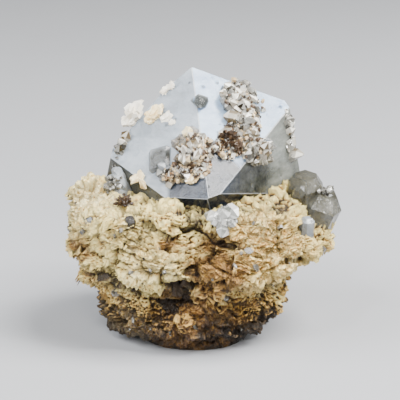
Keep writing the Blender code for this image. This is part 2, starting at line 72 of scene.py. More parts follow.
def unit(vectors: Points) -> Points:
    """Scale each vector to length one.

    Args:
        vectors: Vectors along the last axis.

    Returns:
        The same directions at length one.
    """
    vectors = np.asarray(vectors, dtype=float)
    return vectors / np.maximum(np.linalg.norm(vectors, axis=-1, keepdims=True), 1e-12)


def hashed(cells: NDArray[np.int64], seed: int) -> Points:
    """Give each whole-number cell a fixed value from 0 to 1.

    Args:
        cells: Whole-number triples along the last axis.
        seed: Which set of values to give.

    Returns:
        One value for each cell.
    """
    mixed = (cells[..., 0] * 73856093) ^ (cells[..., 1] * 19349663) ^ (cells[..., 2] * 83492791)
    mixed = (mixed + seed * 2654435761) & 0xFFFFFFFF
    mixed = ((mixed ^ (mixed >> 15)) * 2246822519) & 0xFFFFFFFF
    mixed = ((mixed ^ (mixed >> 13)) * 3266489917) & 0xFFFFFFFF
    return (mixed & 0xFFFF) / 65535.0


def value_noise(points: Points, seed: int) -> Points:
    """Blend the values at the corners of each point's cell with a smooth step.

    Args:
        points: Places along the last axis, in cells.
        seed: Which noise to give.

    Returns:
        One value from -1 to 1 for each point.
    """
    base = np.floor(points).astype(np.int64)
    part = points - base
    part = part * part * (3.0 - 2.0 * part)
    total = np.zeros(points.shape[:-1])
    for corner in np.ndindex(2, 2, 2):
        offset = np.array(corner)
        weight = np.prod(np.where(offset == 1, part, 1.0 - part), axis=-1)
        total += weight * (2.0 * hashed(base + offset, seed) - 1.0)
    return total


@dataclass(frozen=True)
class Chipped:
    """Broken facets: every cell of space has its own level and its own tilt."""

    level: Points
    tilt: Points
    edge: Points
    tone: Points


def chipped(points: Points, size: float, seed: int, squash: float = 1.0) -> Chipped:
    """Find the nearest of the scattered cell centres to each point.

    A point's level is its cell's own value, its tilt is how far it lies along the
    cell's own direction, and its edge is how close the second nearest centre is.

    Args:
        points: Places along the last axis, in millimetres.
        size: Cell size in millimetres.
        seed: Which scatter to use.
        squash: How much flatter the cells are along z.

    Returns:
        The level and tone from 0 to 1, the tilt from about -1 to 1, and the edge from 0.
    """
    scaled = points / size * np.array([1.0, 1.0, squash])
    base = np.floor(scaled).astype(np.int64)
    first = np.full(points.shape[:-1], 1e9)
    second = np.full(points.shape[:-1], 1e9)
    nearest = np.zeros(points.shape, dtype=np.int64)
    offset_to = np.zeros(points.shape)
    for step in np.ndindex(3, 3, 3):
        cell = base + np.array(step) - 1
        jitter = np.stack([hashed(cell, seed + lane) for lane in (1, 2, 3)], axis=-1)
        away = scaled - cell - jitter
        distance = np.einsum("...i,...i->...", away, away)
        closer = distance < first
        second = np.where(closer, first, np.minimum(second, distance))
        first = np.where(closer, distance, first)
        nearest = np.where(closer[..., None], cell, nearest)
        offset_to = np.where(closer[..., None], away, offset_to)
    way = unit(np.stack([hashed(nearest, seed + lane) - 0.5 for lane in (4, 5, 6)], axis=-1))
    return Chipped(hashed(nearest, seed + 7), np.einsum("...i,...i->...", way, offset_to),
                   np.sqrt(second) - np.sqrt(first), hashed(nearest, seed + 8))


def near(points: Points, place: Triple, radius: float) -> Points:
    """Give a weight that falls from 1 at a place to 0 away from it, as a bell curve."""
    away = np.linalg.norm(points - np.array(place), axis=-1)
    return np.exp(-(away / radius) ** 2)


# Meshes


def make_piece(name: str, points: Points, faces: list[Faces],
               values: dict[str, Points] | None = None, smooth: float | None = None,
               facets: Points | None = None) -> bpy.types.Object:
    """Put points and faces into a new object at the origin.

    Args:
        name: The piece's name.
        points: Points in millimetres, one row each.
        faces: Arrays of faces, each array with its own number of corners.
        values: Named values, one for each point, that the materials read.
        smooth: Degrees below which edges are shaded smooth, or None for flat shading.
        facets: A tone for each face, or None.

    Returns:
        The new object.
    """
    mesh = bpy.data.meshes.new(name)
    corners = np.concatenate([part.reshape(-1) for part in faces]).astype(np.int32)
    sizes = np.concatenate([np.full(len(part), part.shape[1]) for part in faces])
    starts = np.concatenate([[0], np.cumsum(sizes)[:-1]]).astype(np.int32)
    mesh.vertices.add(len(points))
    mesh.vertices.foreach_set("co", (points * MM).astype(np.float32).reshape(-1))
    mesh.loops.add(len(corners))
    mesh.loops.foreach_set("vertex_index", corners)
    mesh.polygons.add(len(sizes))
    mesh.polygons.foreach_set("loop_start", starts)
    for key, numbers in (values or {}).items():
        layer = mesh.attributes.new(key, "FLOAT", "POINT")
        layer.data.foreach_set("value", numbers.astype(np.float32).reshape(-1))
    if facets is not None:
        layer = mesh.attributes.new("facet", "FLOAT", "FACE")
        layer.data.foreach_set("value", facets.astype(np.float32))
    mesh.update(calc_edges=True)
    mesh.validate()
    if smooth is None:
        mesh.shade_flat()
    else:
        mesh.shade_smooth()
        mesh.set_sharp_from_angle(angle=math.radians(smooth))
    piece = bpy.data.objects.new(name, mesh)
    bpy.context.scene.collection.objects.link(piece)
    return piece


def finish_piece(piece: bpy.types.Object, material: bpy.types.Material,
                 nodes: tuple[str, ...] = ()) -> None:
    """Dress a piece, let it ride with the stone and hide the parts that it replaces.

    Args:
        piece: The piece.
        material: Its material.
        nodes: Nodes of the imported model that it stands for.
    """
    piece.data.materials.clear()
    piece.data.materials.append(material)
    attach(piece, "root")
    if nodes:
        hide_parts(*nodes)
    LOG.info("%s: %d faces", piece.name, len(piece.data.polygons))


def grid_faces(rows: int, columns: int, closed: bool) -> Faces:
    """List the four-sided faces of a grid of points whose rows may close on themselves.

    Args:
        rows: Number of rows.
        columns: Number of points in a row.
        closed: Whether the last point of a row joins the first.

    Returns:
        One row of four point numbers for each face, facing out where columns turn
        anticlockwise seen from above and rows climb.
    """
    last = columns if closed else columns - 1
    row, column = np.meshgrid(np.arange(rows - 1), np.arange(last), indexing="ij")
    after = (column + 1) % columns
    return np.stack([row * columns + column, row * columns + after,
                     (row + 1) * columns + after, (row + 1) * columns + column],
                    axis=-1).reshape(-1, 4)


def cap_faces(first: int, columns: int, middle: int, facing_up: bool) -> Faces:
    """List the three-sided faces that close a ring of points to one middle point.

    Args:
        first: Number of the ring's first point.
        columns: Number of points in the ring.
        middle: Number of the middle point.
        facing_up: Whether the faces look along the turning direction's up side.

    Returns:
        One row of three point numbers for each face.
    """
    column = np.arange(columns)
    here, after = first + column, first + (column + 1) % columns
    pair = (here, after) if facing_up else (after, here)
    return np.stack([pair[0], pair[1], np.full(columns, middle)], axis=-1)


@dataclass(frozen=True)
class Shape:
    """A small closed form that is copied many times."""

    points: Points
    faces: Faces

    @staticmethod
    def ringed(rings: list[Points], low: Triple, high: Triple) -> "Shape":
        """Join rings of points from the lowest up, and close both ends to a middle point.

        Args:
            rings: The rings, all with the same number of points.
            low: The middle point of the lower end.
            high: The middle point of the upper end.

        Returns:
            The closed form.
        """
        columns = len(rings[0])
        foot = len(rings) * columns
        quads = grid_faces(len(rings), columns, True)
        faces = [quads[:, [0, 1, 2]], quads[:, [0, 2, 3]], cap_faces(0, columns, foot, False),
                 cap_faces(foot - columns, columns, foot + 1, True)]
        return Shape(np.concatenate([*rings, [low], [high]]), np.concatenate(faces))

    @staticmethod
    def crystal() -> "Shape":
        """Give a six-sided crystal: a ring at its foot, one at its shoulder and a blunt end."""
        turn = np.radians(60.0 * np.arange(6))
        ring = np.stack([np.cos(turn), np.sin(turn), 0.0 * turn], axis=-1)
        ring = ring * (1.0 + 0.16 * np.cos(2.0 * turn))[:, None]
        rings = [0.85 * ring + [0, 0, -0.5], ring + [0, 0, 0.42], 0.24 * ring + [0.1, 0.05, 1.0]]
        return Shape.ringed(rings, (0.0, 0.0, -0.5), (0.1, 0.05, 1.03))

    @staticmethod
    def plate(seed: int, corners: int = 8, bend: float = 2.4, least: float = 0.62) -> "Shape":
        """Give a thin plate with an uneven outline.

        Args:
            seed: Which outline to give.
            corners: Number of corners.
            bend: How far its ends curl up, in thicknesses.
            least: The nearest that its outline comes to its middle.

        Returns:
            The plate, whose half length and thickness are one.
        """
        chance = np.random.default_rng(seed)
        turn = (np.arange(corners) + chance.uniform(-0.3, 0.3, corners)) * 2.0 * math.pi / corners
        reach = chance.uniform(least, 1.0, corners)
        flat = np.stack([np.cos(turn) * reach, np.sin(turn) * reach], axis=-1)
        curl = bend * (flat[:, 0] ** 2 + 0.4 * flat[:, 1])
        rings = [np.column_stack([flat, curl - 0.5]), np.column_stack([0.93 * flat, curl + 0.5])]
        return Shape.ringed(rings, (0.0, 0.0, -0.5), (0.0, 0.0, 0.5))

    @staticmethod
    def crumb(seed: int) -> "Shape":
        """Give an uneven grain: two twisted five-cornered rings and two ends."""
        chance = np.random.default_rng(seed)
        turn = np.radians(72.0 * np.arange(5))
        rings = [np.stack([np.cos(turn), np.sin(turn), 0.0 * turn - 0.35], axis=-1),
                 np.stack([np.cos(turn + 0.6), np.sin(turn + 0.6), 0.0 * turn + 0.35], axis=-1)]
        even = Shape.ringed(rings, (0.0, 0.0, -0.8), (0.0, 0.0, 0.8))
        return Shape(even.points * chance.uniform(0.7, 1.15, even.points.shape), even.faces)

    def copies(self, places: Points, axes: Points, sizes: Points) -> tuple[Points, Faces]:
        """Copy the form to many places at once.

        Args:
            places: The middle of each copy.
            axes: Three directions for each copy.
            sizes: Three sizes for each copy.

        Returns:
            All the points, and all the faces.
        """
        scaled = self.points[None, :, :] * sizes[:, None, :]
        points = places[:, None, :] + np.einsum("nki,nij->nkj", scaled, axes)
        shift = np.arange(len(places))[:, None, None] * len(self.points)
        return points.reshape(-1, 3), (self.faces[None] + shift).reshape(-1, 3)

    def facet_light_tones(self, count: int, chance: np.random.Generator) -> Points:
        """Give every flat facet of every copy a tone of its own, picked by chance: painted light and
        shade on the facets.

        Args:
            count: How many copies.
            chance: The source of chance.

        Returns:
            One value from 0 to 1 for each face, the same over a facet.
        """
        corner = self.points[self.faces]
        normals = unit(np.cross(corner[:, 1] - corner[:, 0], corner[:, 2] - corner[:, 0]))
        facet = np.unique(np.round(normals, 2), axis=0, return_inverse=True)[1].reshape(-1)
        return chance.uniform(0.0, 1.0, (count, facet.max() + 1))[:, facet].reshape(-1)


def frames_along(ways: Points, spins: Points) -> Points:
    """Give each direction two more that are square to it, turned by a spin.

    Args:
        ways: One direction for each copy, which becomes the third axis.
        spins: One angle for each copy.

    Returns:
        Three directions for each copy.
    """
    ways = unit(ways)
    helper = np.where(np.abs(ways[:, 2:3]) < 0.8, [[0.0, 0.0, 1.0]], [[1.0, 0.0, 0.0]])
    first = unit(np.cross(helper, ways))
    second = np.cross(ways, first)
    turned = np.cos(spins)[:, None] * first + np.sin(spins)[:, None] * second
    return np.stack([turned, np.cross(ways, turned), ways], axis=1)


def spins(chance: np.random.Generator, count: int) -> Points:
    """Give each copy a spin by chance, in radians."""
    return chance.uniform(0.0, WIDEST_SPIN, count)


def mostly_small(chance: np.random.Generator, span: Pair, power: float,
                 shape: int | tuple[int, int]) -> Points:
    """Pick sizes by chance, the larger ones rarer.

    Args:
        chance: The source of chance.
        span: The least and the most size.
        power: How rare the large sizes are, from 1 for as common as the small ones.
        shape: How many sizes, or the shape of their array.

    Returns:
        The least size, plus the rest of the span times an even chance to the power.
    """
    return span[0] + (span[1] - span[0]) * chance.uniform(0.0, 1.0, shape) ** power


def tumbled(chance: np.random.Generator, count: int) -> Points:
    """Give each copy three directions that lie any way by chance."""
    ways = chance.normal(size=(count, 3))
    return frames_along(ways, spins(chance, count))


class Gathered:
    """Copies of small forms that are gathered into one mesh."""

    def __init__(self) -> None:
        """Start with no copies."""
        self.points: list[Points] = []
        self.faces: list[Faces] = []
        self.values: dict[str, list[Points]] = {}
        self.count = 0

    def add(self, shape: Shape, places: Points, axes: Points, sizes: Points,
            **values: Points) -> None:
        """Add copies of a form.

        Args:
            shape: The form.
            places: The middle of each copy.
            axes: Three directions for each copy.
            sizes: Three sizes for each copy.
            **values: Named values, one for each copy.
        """
        points, faces = shape.copies(places, axes, sizes)
        self.points.append(points)
        self.faces.append(faces + self.count)
        self.count += len(points)
        for key, numbers in values.items():
            self.values.setdefault(key, []).append(np.repeat(numbers, len(shape.points)))

    def add_by_turns(self, shapes: list[Shape], places: Points, axes: Points, sizes: Points,
                     **values: Points) -> None:
        """Add copies that take several forms by turns, and are otherwise as in add.

        Args:
            shapes: The forms.
            places: The middle of each copy.
            axes: Three directions for each copy.
            sizes: Three sizes for each copy.
            **values: Named values, one for each copy.
        """
        turn = np.arange(len(places)) % len(shapes)
        for number, shape in enumerate(shapes):
            mine = turn == number
            own = {key: numbers[mine] for key, numbers in values.items()}
            self.add(shape, places[mine], axes[mine], sizes[mine], **own)

    def joined(self) -> tuple[Points, Faces, dict[str, Points]]:
        """Give all the points, all the faces and the values of each point."""
        values = {key: np.concatenate(parts) for key, parts in self.values.items()}
        return np.concatenate(self.points), np.concatenate(self.faces), values


# Materials


class Wiring:
    """A short way to add and join the nodes of one material."""

    def __init__(self, name: str) -> None:
        """Start a material that has only a Principled shader and its output."""
        self.material = bpy.data.materials.new(name)
        self.material.use_nodes = True
        self.nodes = self.material.node_tree.nodes
        self.links = self.material.node_tree.links
        self.shader = self.nodes["Principled BSDF"]
        self.output = self.nodes["Material Output"]
        self.place = self.nodes.new("ShaderNodeTexCoord").outputs["Object"]

    def feed(self, node: bpy.types.Node, inputs: Inputs) -> None:
        """Join or set inputs of a node."""
        for key, source in inputs.items():
            target = node.inputs[key]
            if isinstance(source, Socket):
                self.links.new(source, target)
            else:
                target.default_value = (*source, 1.0) if target.type == "RGBA" else source

    def add(self, kind: str, inputs: Inputs, **settings: str) -> bpy.types.Node:
        """Add a node.

        Args:
            kind: The node's type.
            inputs: What its inputs are fed.
            **settings: Its own settings, such as its operation.

        Returns:
            The node.
        """
        node = self.nodes.new(kind)
        for key, choice in settings.items():
            setattr(node, key, choice)
        self.feed(node, inputs)
        return node

    def value(self, name: str) -> Socket:
        """Read a named value of the mesh."""
        return self.add("ShaderNodeAttribute", {}, attribute_name=name).outputs["Fac"]

    def noise(self, scale: float, detail: float, rough: float,
              stretch: Triple = (1.0, 1.0, 1.0)) -> Socket:
        """Add a noise pattern on the object's own coordinates.

        Args:
            scale: Size of the pattern, in cells for each metre.
            detail: Number of finer layers.
            rough: Share that each finer layer has.
            stretch: Scale along each axis.

        Returns:
            The pattern's value, from 0 to 1.
        """
        mapping = self.add("ShaderNodeMapping", {"Vector": self.place, "Scale": stretch})
        return self.add("ShaderNodeTexNoise", {
            "Vector": mapping.outputs["Vector"], "Scale": scale, "Detail": detail,
            "Roughness": rough}).outputs["Fac"]

    def lines(self, name: str, scale: float) -> Socket:
        """Add a one-way noise along a named value of the mesh, as uneven parallel lines."""
        return self.add("ShaderNodeTexNoise", {
            "W": self.value(name), "Scale": scale, "Detail": 4.0, "Roughness": 0.7},
            noise_dimensions="1D").outputs["Fac"]

    def dots(self, scale: float) -> Socket:
        """Give the distance to the nearest of scattered points, in cells of 1 / scale metres."""
        return self.add("ShaderNodeTexVoronoi", {
            "Vector": self.place, "Scale": scale}).outputs["Distance"]

    def ramp(self, source: Socket, stops: list[tuple[float, Colour]]) -> Socket:
        """Turn a value into a colour.

        Args:
            source: The value.
            stops: Places from 0 to 1, each with its colour.

        Returns:
            The colour.
        """
        node = self.add("ShaderNodeValToRGB", {"Fac": source})
        while len(node.color_ramp.elements) < len(stops):
            node.color_ramp.elements.new(0.5)
        for element, (place, colour) in zip(node.color_ramp.elements, stops):
            element.position = place
            element.color = (*colour, 1.0)
        return node.outputs["Color"]

    def step(self, source: Socket, low: float, high: float, start: float = 0.0,
             end: float = 1.0) -> Socket:
        """Stretch a value between two limits to a new range, and hold it there."""
        return self.add("ShaderNodeMapRange", {
            "Value": source, "From Min": low, "From Max": high, "To Min": start,
            "To Max": end}).outputs["Result"]

    def math(self, operation: str, first: Socket, second: Socket | float = 0.0) -> Socket:
        """Work out one sum of two values.

        Args:
            operation: The name of the sum, such as ADD or MAXIMUM.
            first: A value.
            second: A value, or a number.

        Returns:
            The result.
        """
        return self.add("ShaderNodeMath", {0: first, 1: second},
                        operation=operation).outputs["Value"]

    def over_all(self, operation: str, sources: list[Socket]) -> Socket:
        """Work out one sum over many values, such as MAXIMUM for the largest of them."""
        return reduce(lambda first, second: self.math(operation, first, second), sources)

    def sum(self, first: Socket, second: Socket, share: float) -> Socket:
        """Add a share of one value to another."""
        return self.add("ShaderNodeMath", {0: second, 1: share, 2: first},
                        operation="MULTIPLY_ADD").outputs["Value"]

    def mix(self, share: Socket, first: Socket | Colour, second: Socket | Colour) -> Socket:
        """Blend two colours by a share: 0 for the first colour, 1 for the second."""
        return self.add("ShaderNodeMix", {0: share, 6: first, 7: second},
                        data_type="RGBA").outputs[2]

    def above(self, normal: Points, reach: float) -> Socket:
        """Give how far the surface lies above a plane, in metres.

        Args:
            normal: The plane's direction.
            reach: The plane's distance from the scene's origin, in millimetres.

        Returns:
            The height, which is below zero under the plane.
        """
        along = self.add("ShaderNodeVectorMath", {0: self.place, 1: tuple(normal.tolist())},
                         operation="DOT_PRODUCT")
        return self.math("ADD", along.outputs["Value"], -reach * MM)

    def beside(self, place: Points, radius: float, firm: float) -> Socket:
        """Give 1 near a place, falling to 0 at a radius in millimetres.

        Args:
            place: The place, in millimetres.
            radius: Where the value reaches 0.
            firm: Share of the radius up to which it stays 1.

        Returns:
            The value.
        """
        away = self.add("ShaderNodeVectorMath", {0: self.place, 1: tuple((place * MM).tolist())},
                        operation="DISTANCE")
        return self.step(away.outputs["Value"], firm * radius * MM, radius * MM, 1.0, 0.0)

    def bump(self, source: Socket, depth: float) -> None:
        """Raise the surface by a value times a depth in metres, on top of earlier bumps."""
        inputs = {"Height": source, "Strength": 1.0, "Distance": depth}
        before = self.shader.inputs["Normal"]
        if before.is_linked:
            inputs["Normal"] = before.links[0].from_socket
        self.feed(self.shader, {"Normal": self.add("ShaderNodeBump", inputs).outputs["Normal"]})

    def absorb(self, tint: Colour, density: float) -> None:
        """Let light take on a tint on its way through, by a density for each metre."""
        node = self.add("ShaderNodeVolumeAbsorption", {"Color": tint, "Density": density})
        self.feed(self.output, {"Volume": node.outputs["Volume"]})


@dataclass(frozen=True)
class QuartzFinish:
    """Clear to milky quartz: see-through, with cloudy veils, faint growth relief and, on small
    crystals, painted light and shade on the facets.
    """

    name: str
    clear: Colour
    cloud: Colour
    transmission: float
    roughness: Pair
    tint: Colour
    density: float
    relief: float
    # Whether each facet's painted light and shade is read from the mesh
    facet_lit: bool = False

    def build(self) -> bpy.types.Material:
        """Build the material."""
        wiring = Wiring(self.name)
        veils = wiring.step(wiring.noise(130.0, 5.0, 0.62), 0.42, 0.66)
        if self.facet_lit:
            # Painted light and shade: each facet's own tone, picked by chance, outweighs the veils
            veils = wiring.step(wiring.sum(wiring.value("facet"), veils, 0.35), 0.12, 1.0)
        smears = wiring.step(wiring.noise(420.0, 4.0, 0.6), 0.35, 0.7, *self.roughness)
        wiring.feed(wiring.shader, {"Base Color": wiring.mix(veils, self.clear, self.cloud),
                                    "Roughness": smears, "IOR": QUARTZ_IOR,
                                    "Transmission Weight": self.transmission})
        wiring.bump(wiring.noise(300.0, 3.0, 0.5, (1.0, 1.0, 2.0)), 0.00008 * self.relief)
        wiring.bump(wiring.step(wiring.dots(700.0), 0.06, 0.2), 0.00005 * self.relief)
        wiring.bump(wiring.noise(2600.0, 3.0, 0.6), 0.000025 * self.relief)
        wiring.absorb(self.tint, self.density)
        return wiring.material


@dataclass(frozen=True)
class RockFinish:
    """Mica and feldspar rock: chips of cream, tan and gold with rust, and painted shade in the
    hollows and at the foot.
    """

    name: str = "mica rock"
    sheen: float = 0.6
    # The colour of the painted shade in the hollows
    hollow_shade_colour: Colour = (0.016, 0.009, 0.004)

    def build(self) -> bpy.types.Material:
        """Build the material from the mesh's tone, rust, gold and pale values and its painted hollow
        shade; the tone carries painted shade as well.
        """
        wiring = Wiring(self.name)
        grain = wiring.noise(1700.0, 8.0, 0.72)
        pages = wiring.lines("pages", 2.6)
        patch = wiring.noise(280.0, 6.0, 0.66)
        tone = wiring.sum(wiring.value("tone"), grain, 0.9)
        tone = wiring.sum(tone, patch, 1.1)
        tone = wiring.sum(tone, pages, 1.1)
        base = wiring.ramp(wiring.step(tone, 0.76, 1.82), [
            (0.0, (0.016, 0.011, 0.006)), (0.22, (0.095, 0.060, 0.027)),
            (0.44, (0.41, 0.23, 0.055)), (0.68, (0.92, 0.57, 0.125)), (1.0, (1.0, 0.83, 0.33))])
        mixed = wiring.math("MULTIPLY", wiring.math("ADD", grain, pages), 0.5)
        gold = wiring.ramp(mixed, [(0.39, (0.085, 0.035, 0.006)), (0.47, (0.66, 0.35, 0.060)),
                                   (0.56, (1.0, 0.82, 0.36))])
        rust = wiring.ramp(mixed, [(0.38, (0.022, 0.009, 0.003)), (0.48, (0.25, 0.10, 0.018)),
                                   (0.58, (0.72, 0.40, 0.10))])
        pale = wiring.ramp(mixed, [(0.37, (0.20, 0.10, 0.028)), (0.44, (0.96, 0.66, 0.23)),
                                   (0.53, (1.0, 0.90, 0.52))])
        colour = wiring.mix(wiring.value("gold"), base, gold)
        colour = wiring.mix(wiring.value("pale"), colour, pale)
        stain = wiring.sum(wiring.value("rust"), wiring.noise(520.0, 6.0, 0.65), 0.9)
        colour = wiring.mix(wiring.step(stain, 0.47, 0.92, 0.0, 0.9), colour, rust)
        # Painted shade: the hollow shade value draws the colour down to a near black
        colour = wiring.mix(wiring.step(wiring.value("hollow"), 0.1, 1.0, 0.0, 0.95), colour,
                            self.hollow_shade_colour)
        wiring.feed(wiring.shader, {"Base Color": colour, "Specular IOR Level": self.sheen,
                                    "Roughness": wiring.step(grain, 0.36, 0.62, 0.72, 0.16)})
        wiring.bump(wiring.noise(1500.0, 8.0, 0.8, (1.0, 1.0, 2.2)), 0.0004)
        wiring.bump(pages, 0.0006)
        wiring.bump(wiring.dots(2200.0), 0.0001)
        return wiring.material


@dataclass(frozen=True)
class MineralFinish:
    """An opaque or waxy mineral with two main tones, a stain and a fine grain."""

    name: str
    light: Colour
    dark: Colour
    stain: Colour
    stained: float
    roughness: float
    grain: float
    depth: float
    see_through: float = 0.0

    def build(self) -> bpy.types.Material:
        """Build the material."""
        wiring = Wiring(self.name)
        fine = wiring.noise(self.grain, 8.0, 0.68)
        tone = wiring.sum(fine, wiring.value("tone"), 0.5)
        colour = wiring.mix(wiring.step(tone, 0.45, 1.0), self.dark, self.light)
        marks = wiring.noise(0.35 * self.grain, 6.0, 0.7)
        limit = 0.78 - 0.4 * self.stained
        colour = wiring.mix(wiring.step(marks, limit, limit + 0.1), colour, self.stain)
        smears = wiring.step(fine, 0.3, 0.7, self.roughness + 0.15, self.roughness - 0.1)
        wiring.feed(wiring.shader, {"Base Color": colour, "Roughness": smears,
                                    "Transmission Weight": self.see_through})
        wiring.bump(fine, self.depth)
        return wiring.material


@dataclass(frozen=True)
class FloorFinish:
    """A plain pale studio floor with a barely seen paper grain."""

    name: str = "studio floor"
    colour: Colour = (0.37, 0.38, 0.40)

    def build(self) -> bpy.types.Material:
        """Build the material."""
        wiring = Wiring(self.name)
        darker = tuple(0.97 * part for part in self.colour)
        colour = wiring.mix(wiring.noise(60.0, 3.0, 0.5), self.colour, darker)
        wiring.feed(wiring.shader, {"Base Color": colour, "Roughness": 0.7})
        return wiring.material


class Finish(Enum):
    """Every finish on the stone."""

    SIDE = QuartzFinish(
        "side quartz", clear=(0.085, 0.083, 0.066), cloud=(0.20, 0.20, 0.172), transmission=0.50,
        roughness=(0.10, 0.30), tint=(0.70, 0.72, 0.70), density=35.0, relief=1.0)
    DRUSE = QuartzFinish(
        "small quartz", clear=(0.12, 0.085, 0.042), cloud=(1.0, 0.98, 0.88), transmission=0.25,
        roughness=(0.02, 0.12), tint=(0.90, 0.87, 0.78), density=30.0, relief=0.3, facet_lit=True)
    SHOULDER = QuartzFinish(
        "shoulder quartz", clear=(0.16, 0.17, 0.15), cloud=(1.0, 1.0, 0.97), transmission=0.35,
        roughness=(0.02, 0.14), tint=(0.80, 0.82, 0.78), density=30.0, relief=0.4, facet_lit=True)
    GLASSY = QuartzFinish(
        "glassy quartz", clear=(0.045, 0.038, 0.026), cloud=(0.86, 0.85, 0.78), transmission=0.60,
        roughness=(0.01, 0.06), tint=(0.66, 0.66, 0.60), density=90.0, relief=0.3, facet_lit=True)
    VEIN = QuartzFinish(
        "vein quartz", clear=(0.28, 0.31, 0.34), cloud=(0.62, 0.66, 0.70), transmission=0.35,
        roughness=(0.10, 0.35), tint=(0.60, 0.66, 0.74), density=120.0, relief=2.0)
    ROCK = RockFinish()
    FELDSPAR = MineralFinish(
        "white feldspar", light=(1.0, 0.97, 0.88), dark=(0.80, 0.72, 0.57),
        stain=(0.70, 0.52, 0.24), stained=0.2, roughness=0.32, grain=1400.0, depth=0.00006,
        see_through=0.15)
    CREAM = MineralFinish(
        "cream feldspar", light=(1.0, 0.90, 0.60), dark=(0.66, 0.46, 0.20),
        stain=(0.40, 0.18, 0.04), stained=0.35, roughness=0.4, grain=1500.0, depth=0.00008)
    RUST = MineralFinish(
        "rusty mica", light=(0.075, 0.042, 0.020), dark=(0.006, 0.0045, 0.0035),
        stain=(0.62, 0.36, 0.12), stained=0.42, roughness=0.26, grain=1300.0, depth=0.00012)
    DARK = MineralFinish(
        "dark mica", light=(0.09, 0.085, 0.08), dark=(0.015, 0.013, 0.012),
        stain=(0.42, 0.42, 0.42), stained=0.3, roughness=0.22, grain=1600.0, depth=0.00018)
    GRAIN = MineralFinish(
        "stray grains", light=(0.90, 0.74, 0.46), dark=(0.22, 0.10, 0.03),
        stain=(0.07, 0.028, 0.010), stained=0.55, roughness=0.5, grain=1500.0, depth=0.0001)

    def material(self) -> bpy.types.Material:
        """Build the finish once, and give it again when asked again."""
        return bpy.data.materials.get(self.value.name) or self.value.build()


def crystal_piece(name: str, places: Points, axes: Points, sizes: Points,
                  chance: np.random.Generator, finish: Finish,
                  nodes: tuple[str, ...] = (), bright: float = 1.0, contrast: float = 1.0) -> None:
    """Make one piece of many small crystals whose facets have painted light and shade by chance.

    Args:
        name: The piece's name.
        places: The middle of each crystal.
        axes: Three directions for each crystal.
        sizes: Three sizes for each crystal.
        chance: The source of chance.
        finish: Its finish.
        nodes: Nodes that it stands for.
        bright: The painted light of the palest facet.
        contrast: Power that the tones are raised to, which leaves fewer pale facets.
    """
    shape = Shape.crystal()
    points, faces = shape.copies(places, axes, sizes)
    points[:, 2] = np.maximum(points[:, 2], GROUND_GAP)
    facet_light = bright * shape.facet_light_tones(len(places), chance) ** contrast
    finish_piece(make_piece(name, points, [faces], facets=facet_light), finish.material(), nodes)


# View, light and floor


def stand(thing: bpy.types.Object, axes: Points, place: Points) -> None:
    """Put a camera or a lamp into the scene.

    Args:
        thing: The camera or the lamp.
        axes: The directions of its own three axes, one row each.
        place: Its place, in metres.
    """
    turned = np.eye(4)
    turned[:3, :3] = axes.T
    turned[:3, 3] = place
    thing.matrix_world = Matrix(turned.tolist())
    bpy.context.scene.collection.objects.link(thing)


@dataclass(frozen=True)
class FrontView:
    """The camera: it looks along +Y and a little down at a point inside the stone."""

    pitch: float = math.radians(15.6)
    distance: float = 351.0
    aim: Triple = (-0.5, -2.5, 24.6)
    lens: float = 180.0
    sensor: float = 36.0

    def axes(self) -> Points:
        """Give the directions right, up and towards the viewer, one row each."""
        towards = np.array([0.0, -math.cos(self.pitch), math.sin(self.pitch)])
        right = np.array([1.0, 0.0, 0.0])
        return np.array([right, np.cross(towards, right), towards])

    def eye(self) -> Points:
        """Give the place of the eye."""
        return np.array(self.aim) + self.distance * self.axes()[2]

    def build(self) -> None:
        """Make the camera and set it."""
        data = bpy.data.cameras.new("front view")
        data.lens = self.lens
        data.sensor_width = self.sensor
        data.clip_start = 0.01
        camera = bpy.data.objects.new("front view", data)
        stand(camera, self.axes(), self.eye() * MM)
        bpy.context.scene.camera = camera


@dataclass(frozen=True)
class Lamp:
    """A soft square light that looks at the stone."""

    name: str
    way: Triple
    distance: float
    size: float
    power: float
    colour: Colour = (1.0, 1.0, 1.0)

    def build(self, aim: Triple) -> None:
        """Make the light.

        Args:
            aim: The place that it looks at, in millimetres.
        """
        data = bpy.data.lights.new(self.name, "AREA")
        data.energy = self.power
        data.size = self.size
        data.color = self.colour
        way = unit(np.array(self.way))
        axes = frames_along(way[None, :], np.zeros(1))[0]
        stand(bpy.data.objects.new(self.name, data), axes, np.array(aim) * MM + way * self.distance)


@dataclass(frozen=True)
class Studio:
    """The floor, the lamps and the even light all round."""

    view: FrontView
    lamps: tuple[Lamp, ...] = (
        Lamp("upper right box", (0.50, -0.17, 0.84), distance=0.55, size=0.33, power=10.2,
             colour=(1.0, 0.98, 0.95)),
        Lamp("upper left box", (-0.76, -0.30, 0.60), distance=0.55, size=0.40, power=5.2,
             colour=(0.97, 0.98, 1.0)),
        Lamp("front fill", (0.10, -0.95, 0.45), distance=0.65, size=0.30, power=4.0,
             colour=(1.0, 0.97, 0.92)),
        Lamp("right glint", (0.80, -0.50, 0.90), distance=0.50, size=0.05, power=0.9),
        Lamp("left glint", (-0.35, -0.75, 0.95), distance=0.50, size=0.05, power=0.8),
        Lamp("low rim", (0.85, 0.55, 0.30), distance=0.45, size=0.18, power=1.0,
             colour=(0.96, 0.98, 1.0)),
    )
    ambient: Colour = (0.50, 0.52, 0.55)
    ambient_strength: float = 0.14
    floor_half: float = 1500.0

    def build(self) -> None:
        """Make the floor, the lamps and the world."""
        half = self.floor_half
        corners = np.array([[-half, -half, 0], [half, -half, 0], [half, half, 0], [-half, half, 0]])
        floor = make_piece("floor", corners.astype(float), [np.array([[0, 1, 2, 3]])])
        floor.data.materials.append(FloorFinish().build())
        for lamp in self.lamps:
            lamp.build(self.view.aim)
        world = bpy.data.worlds.new("studio")
        world.use_nodes = True
        back = world.node_tree.nodes["Background"]
        back.inputs["Color"].default_value = (*self.ambient, 1.0)
        back.inputs["Strength"].default_value = self.ambient_strength
        bpy.context.scene.world = world


# The large crystal


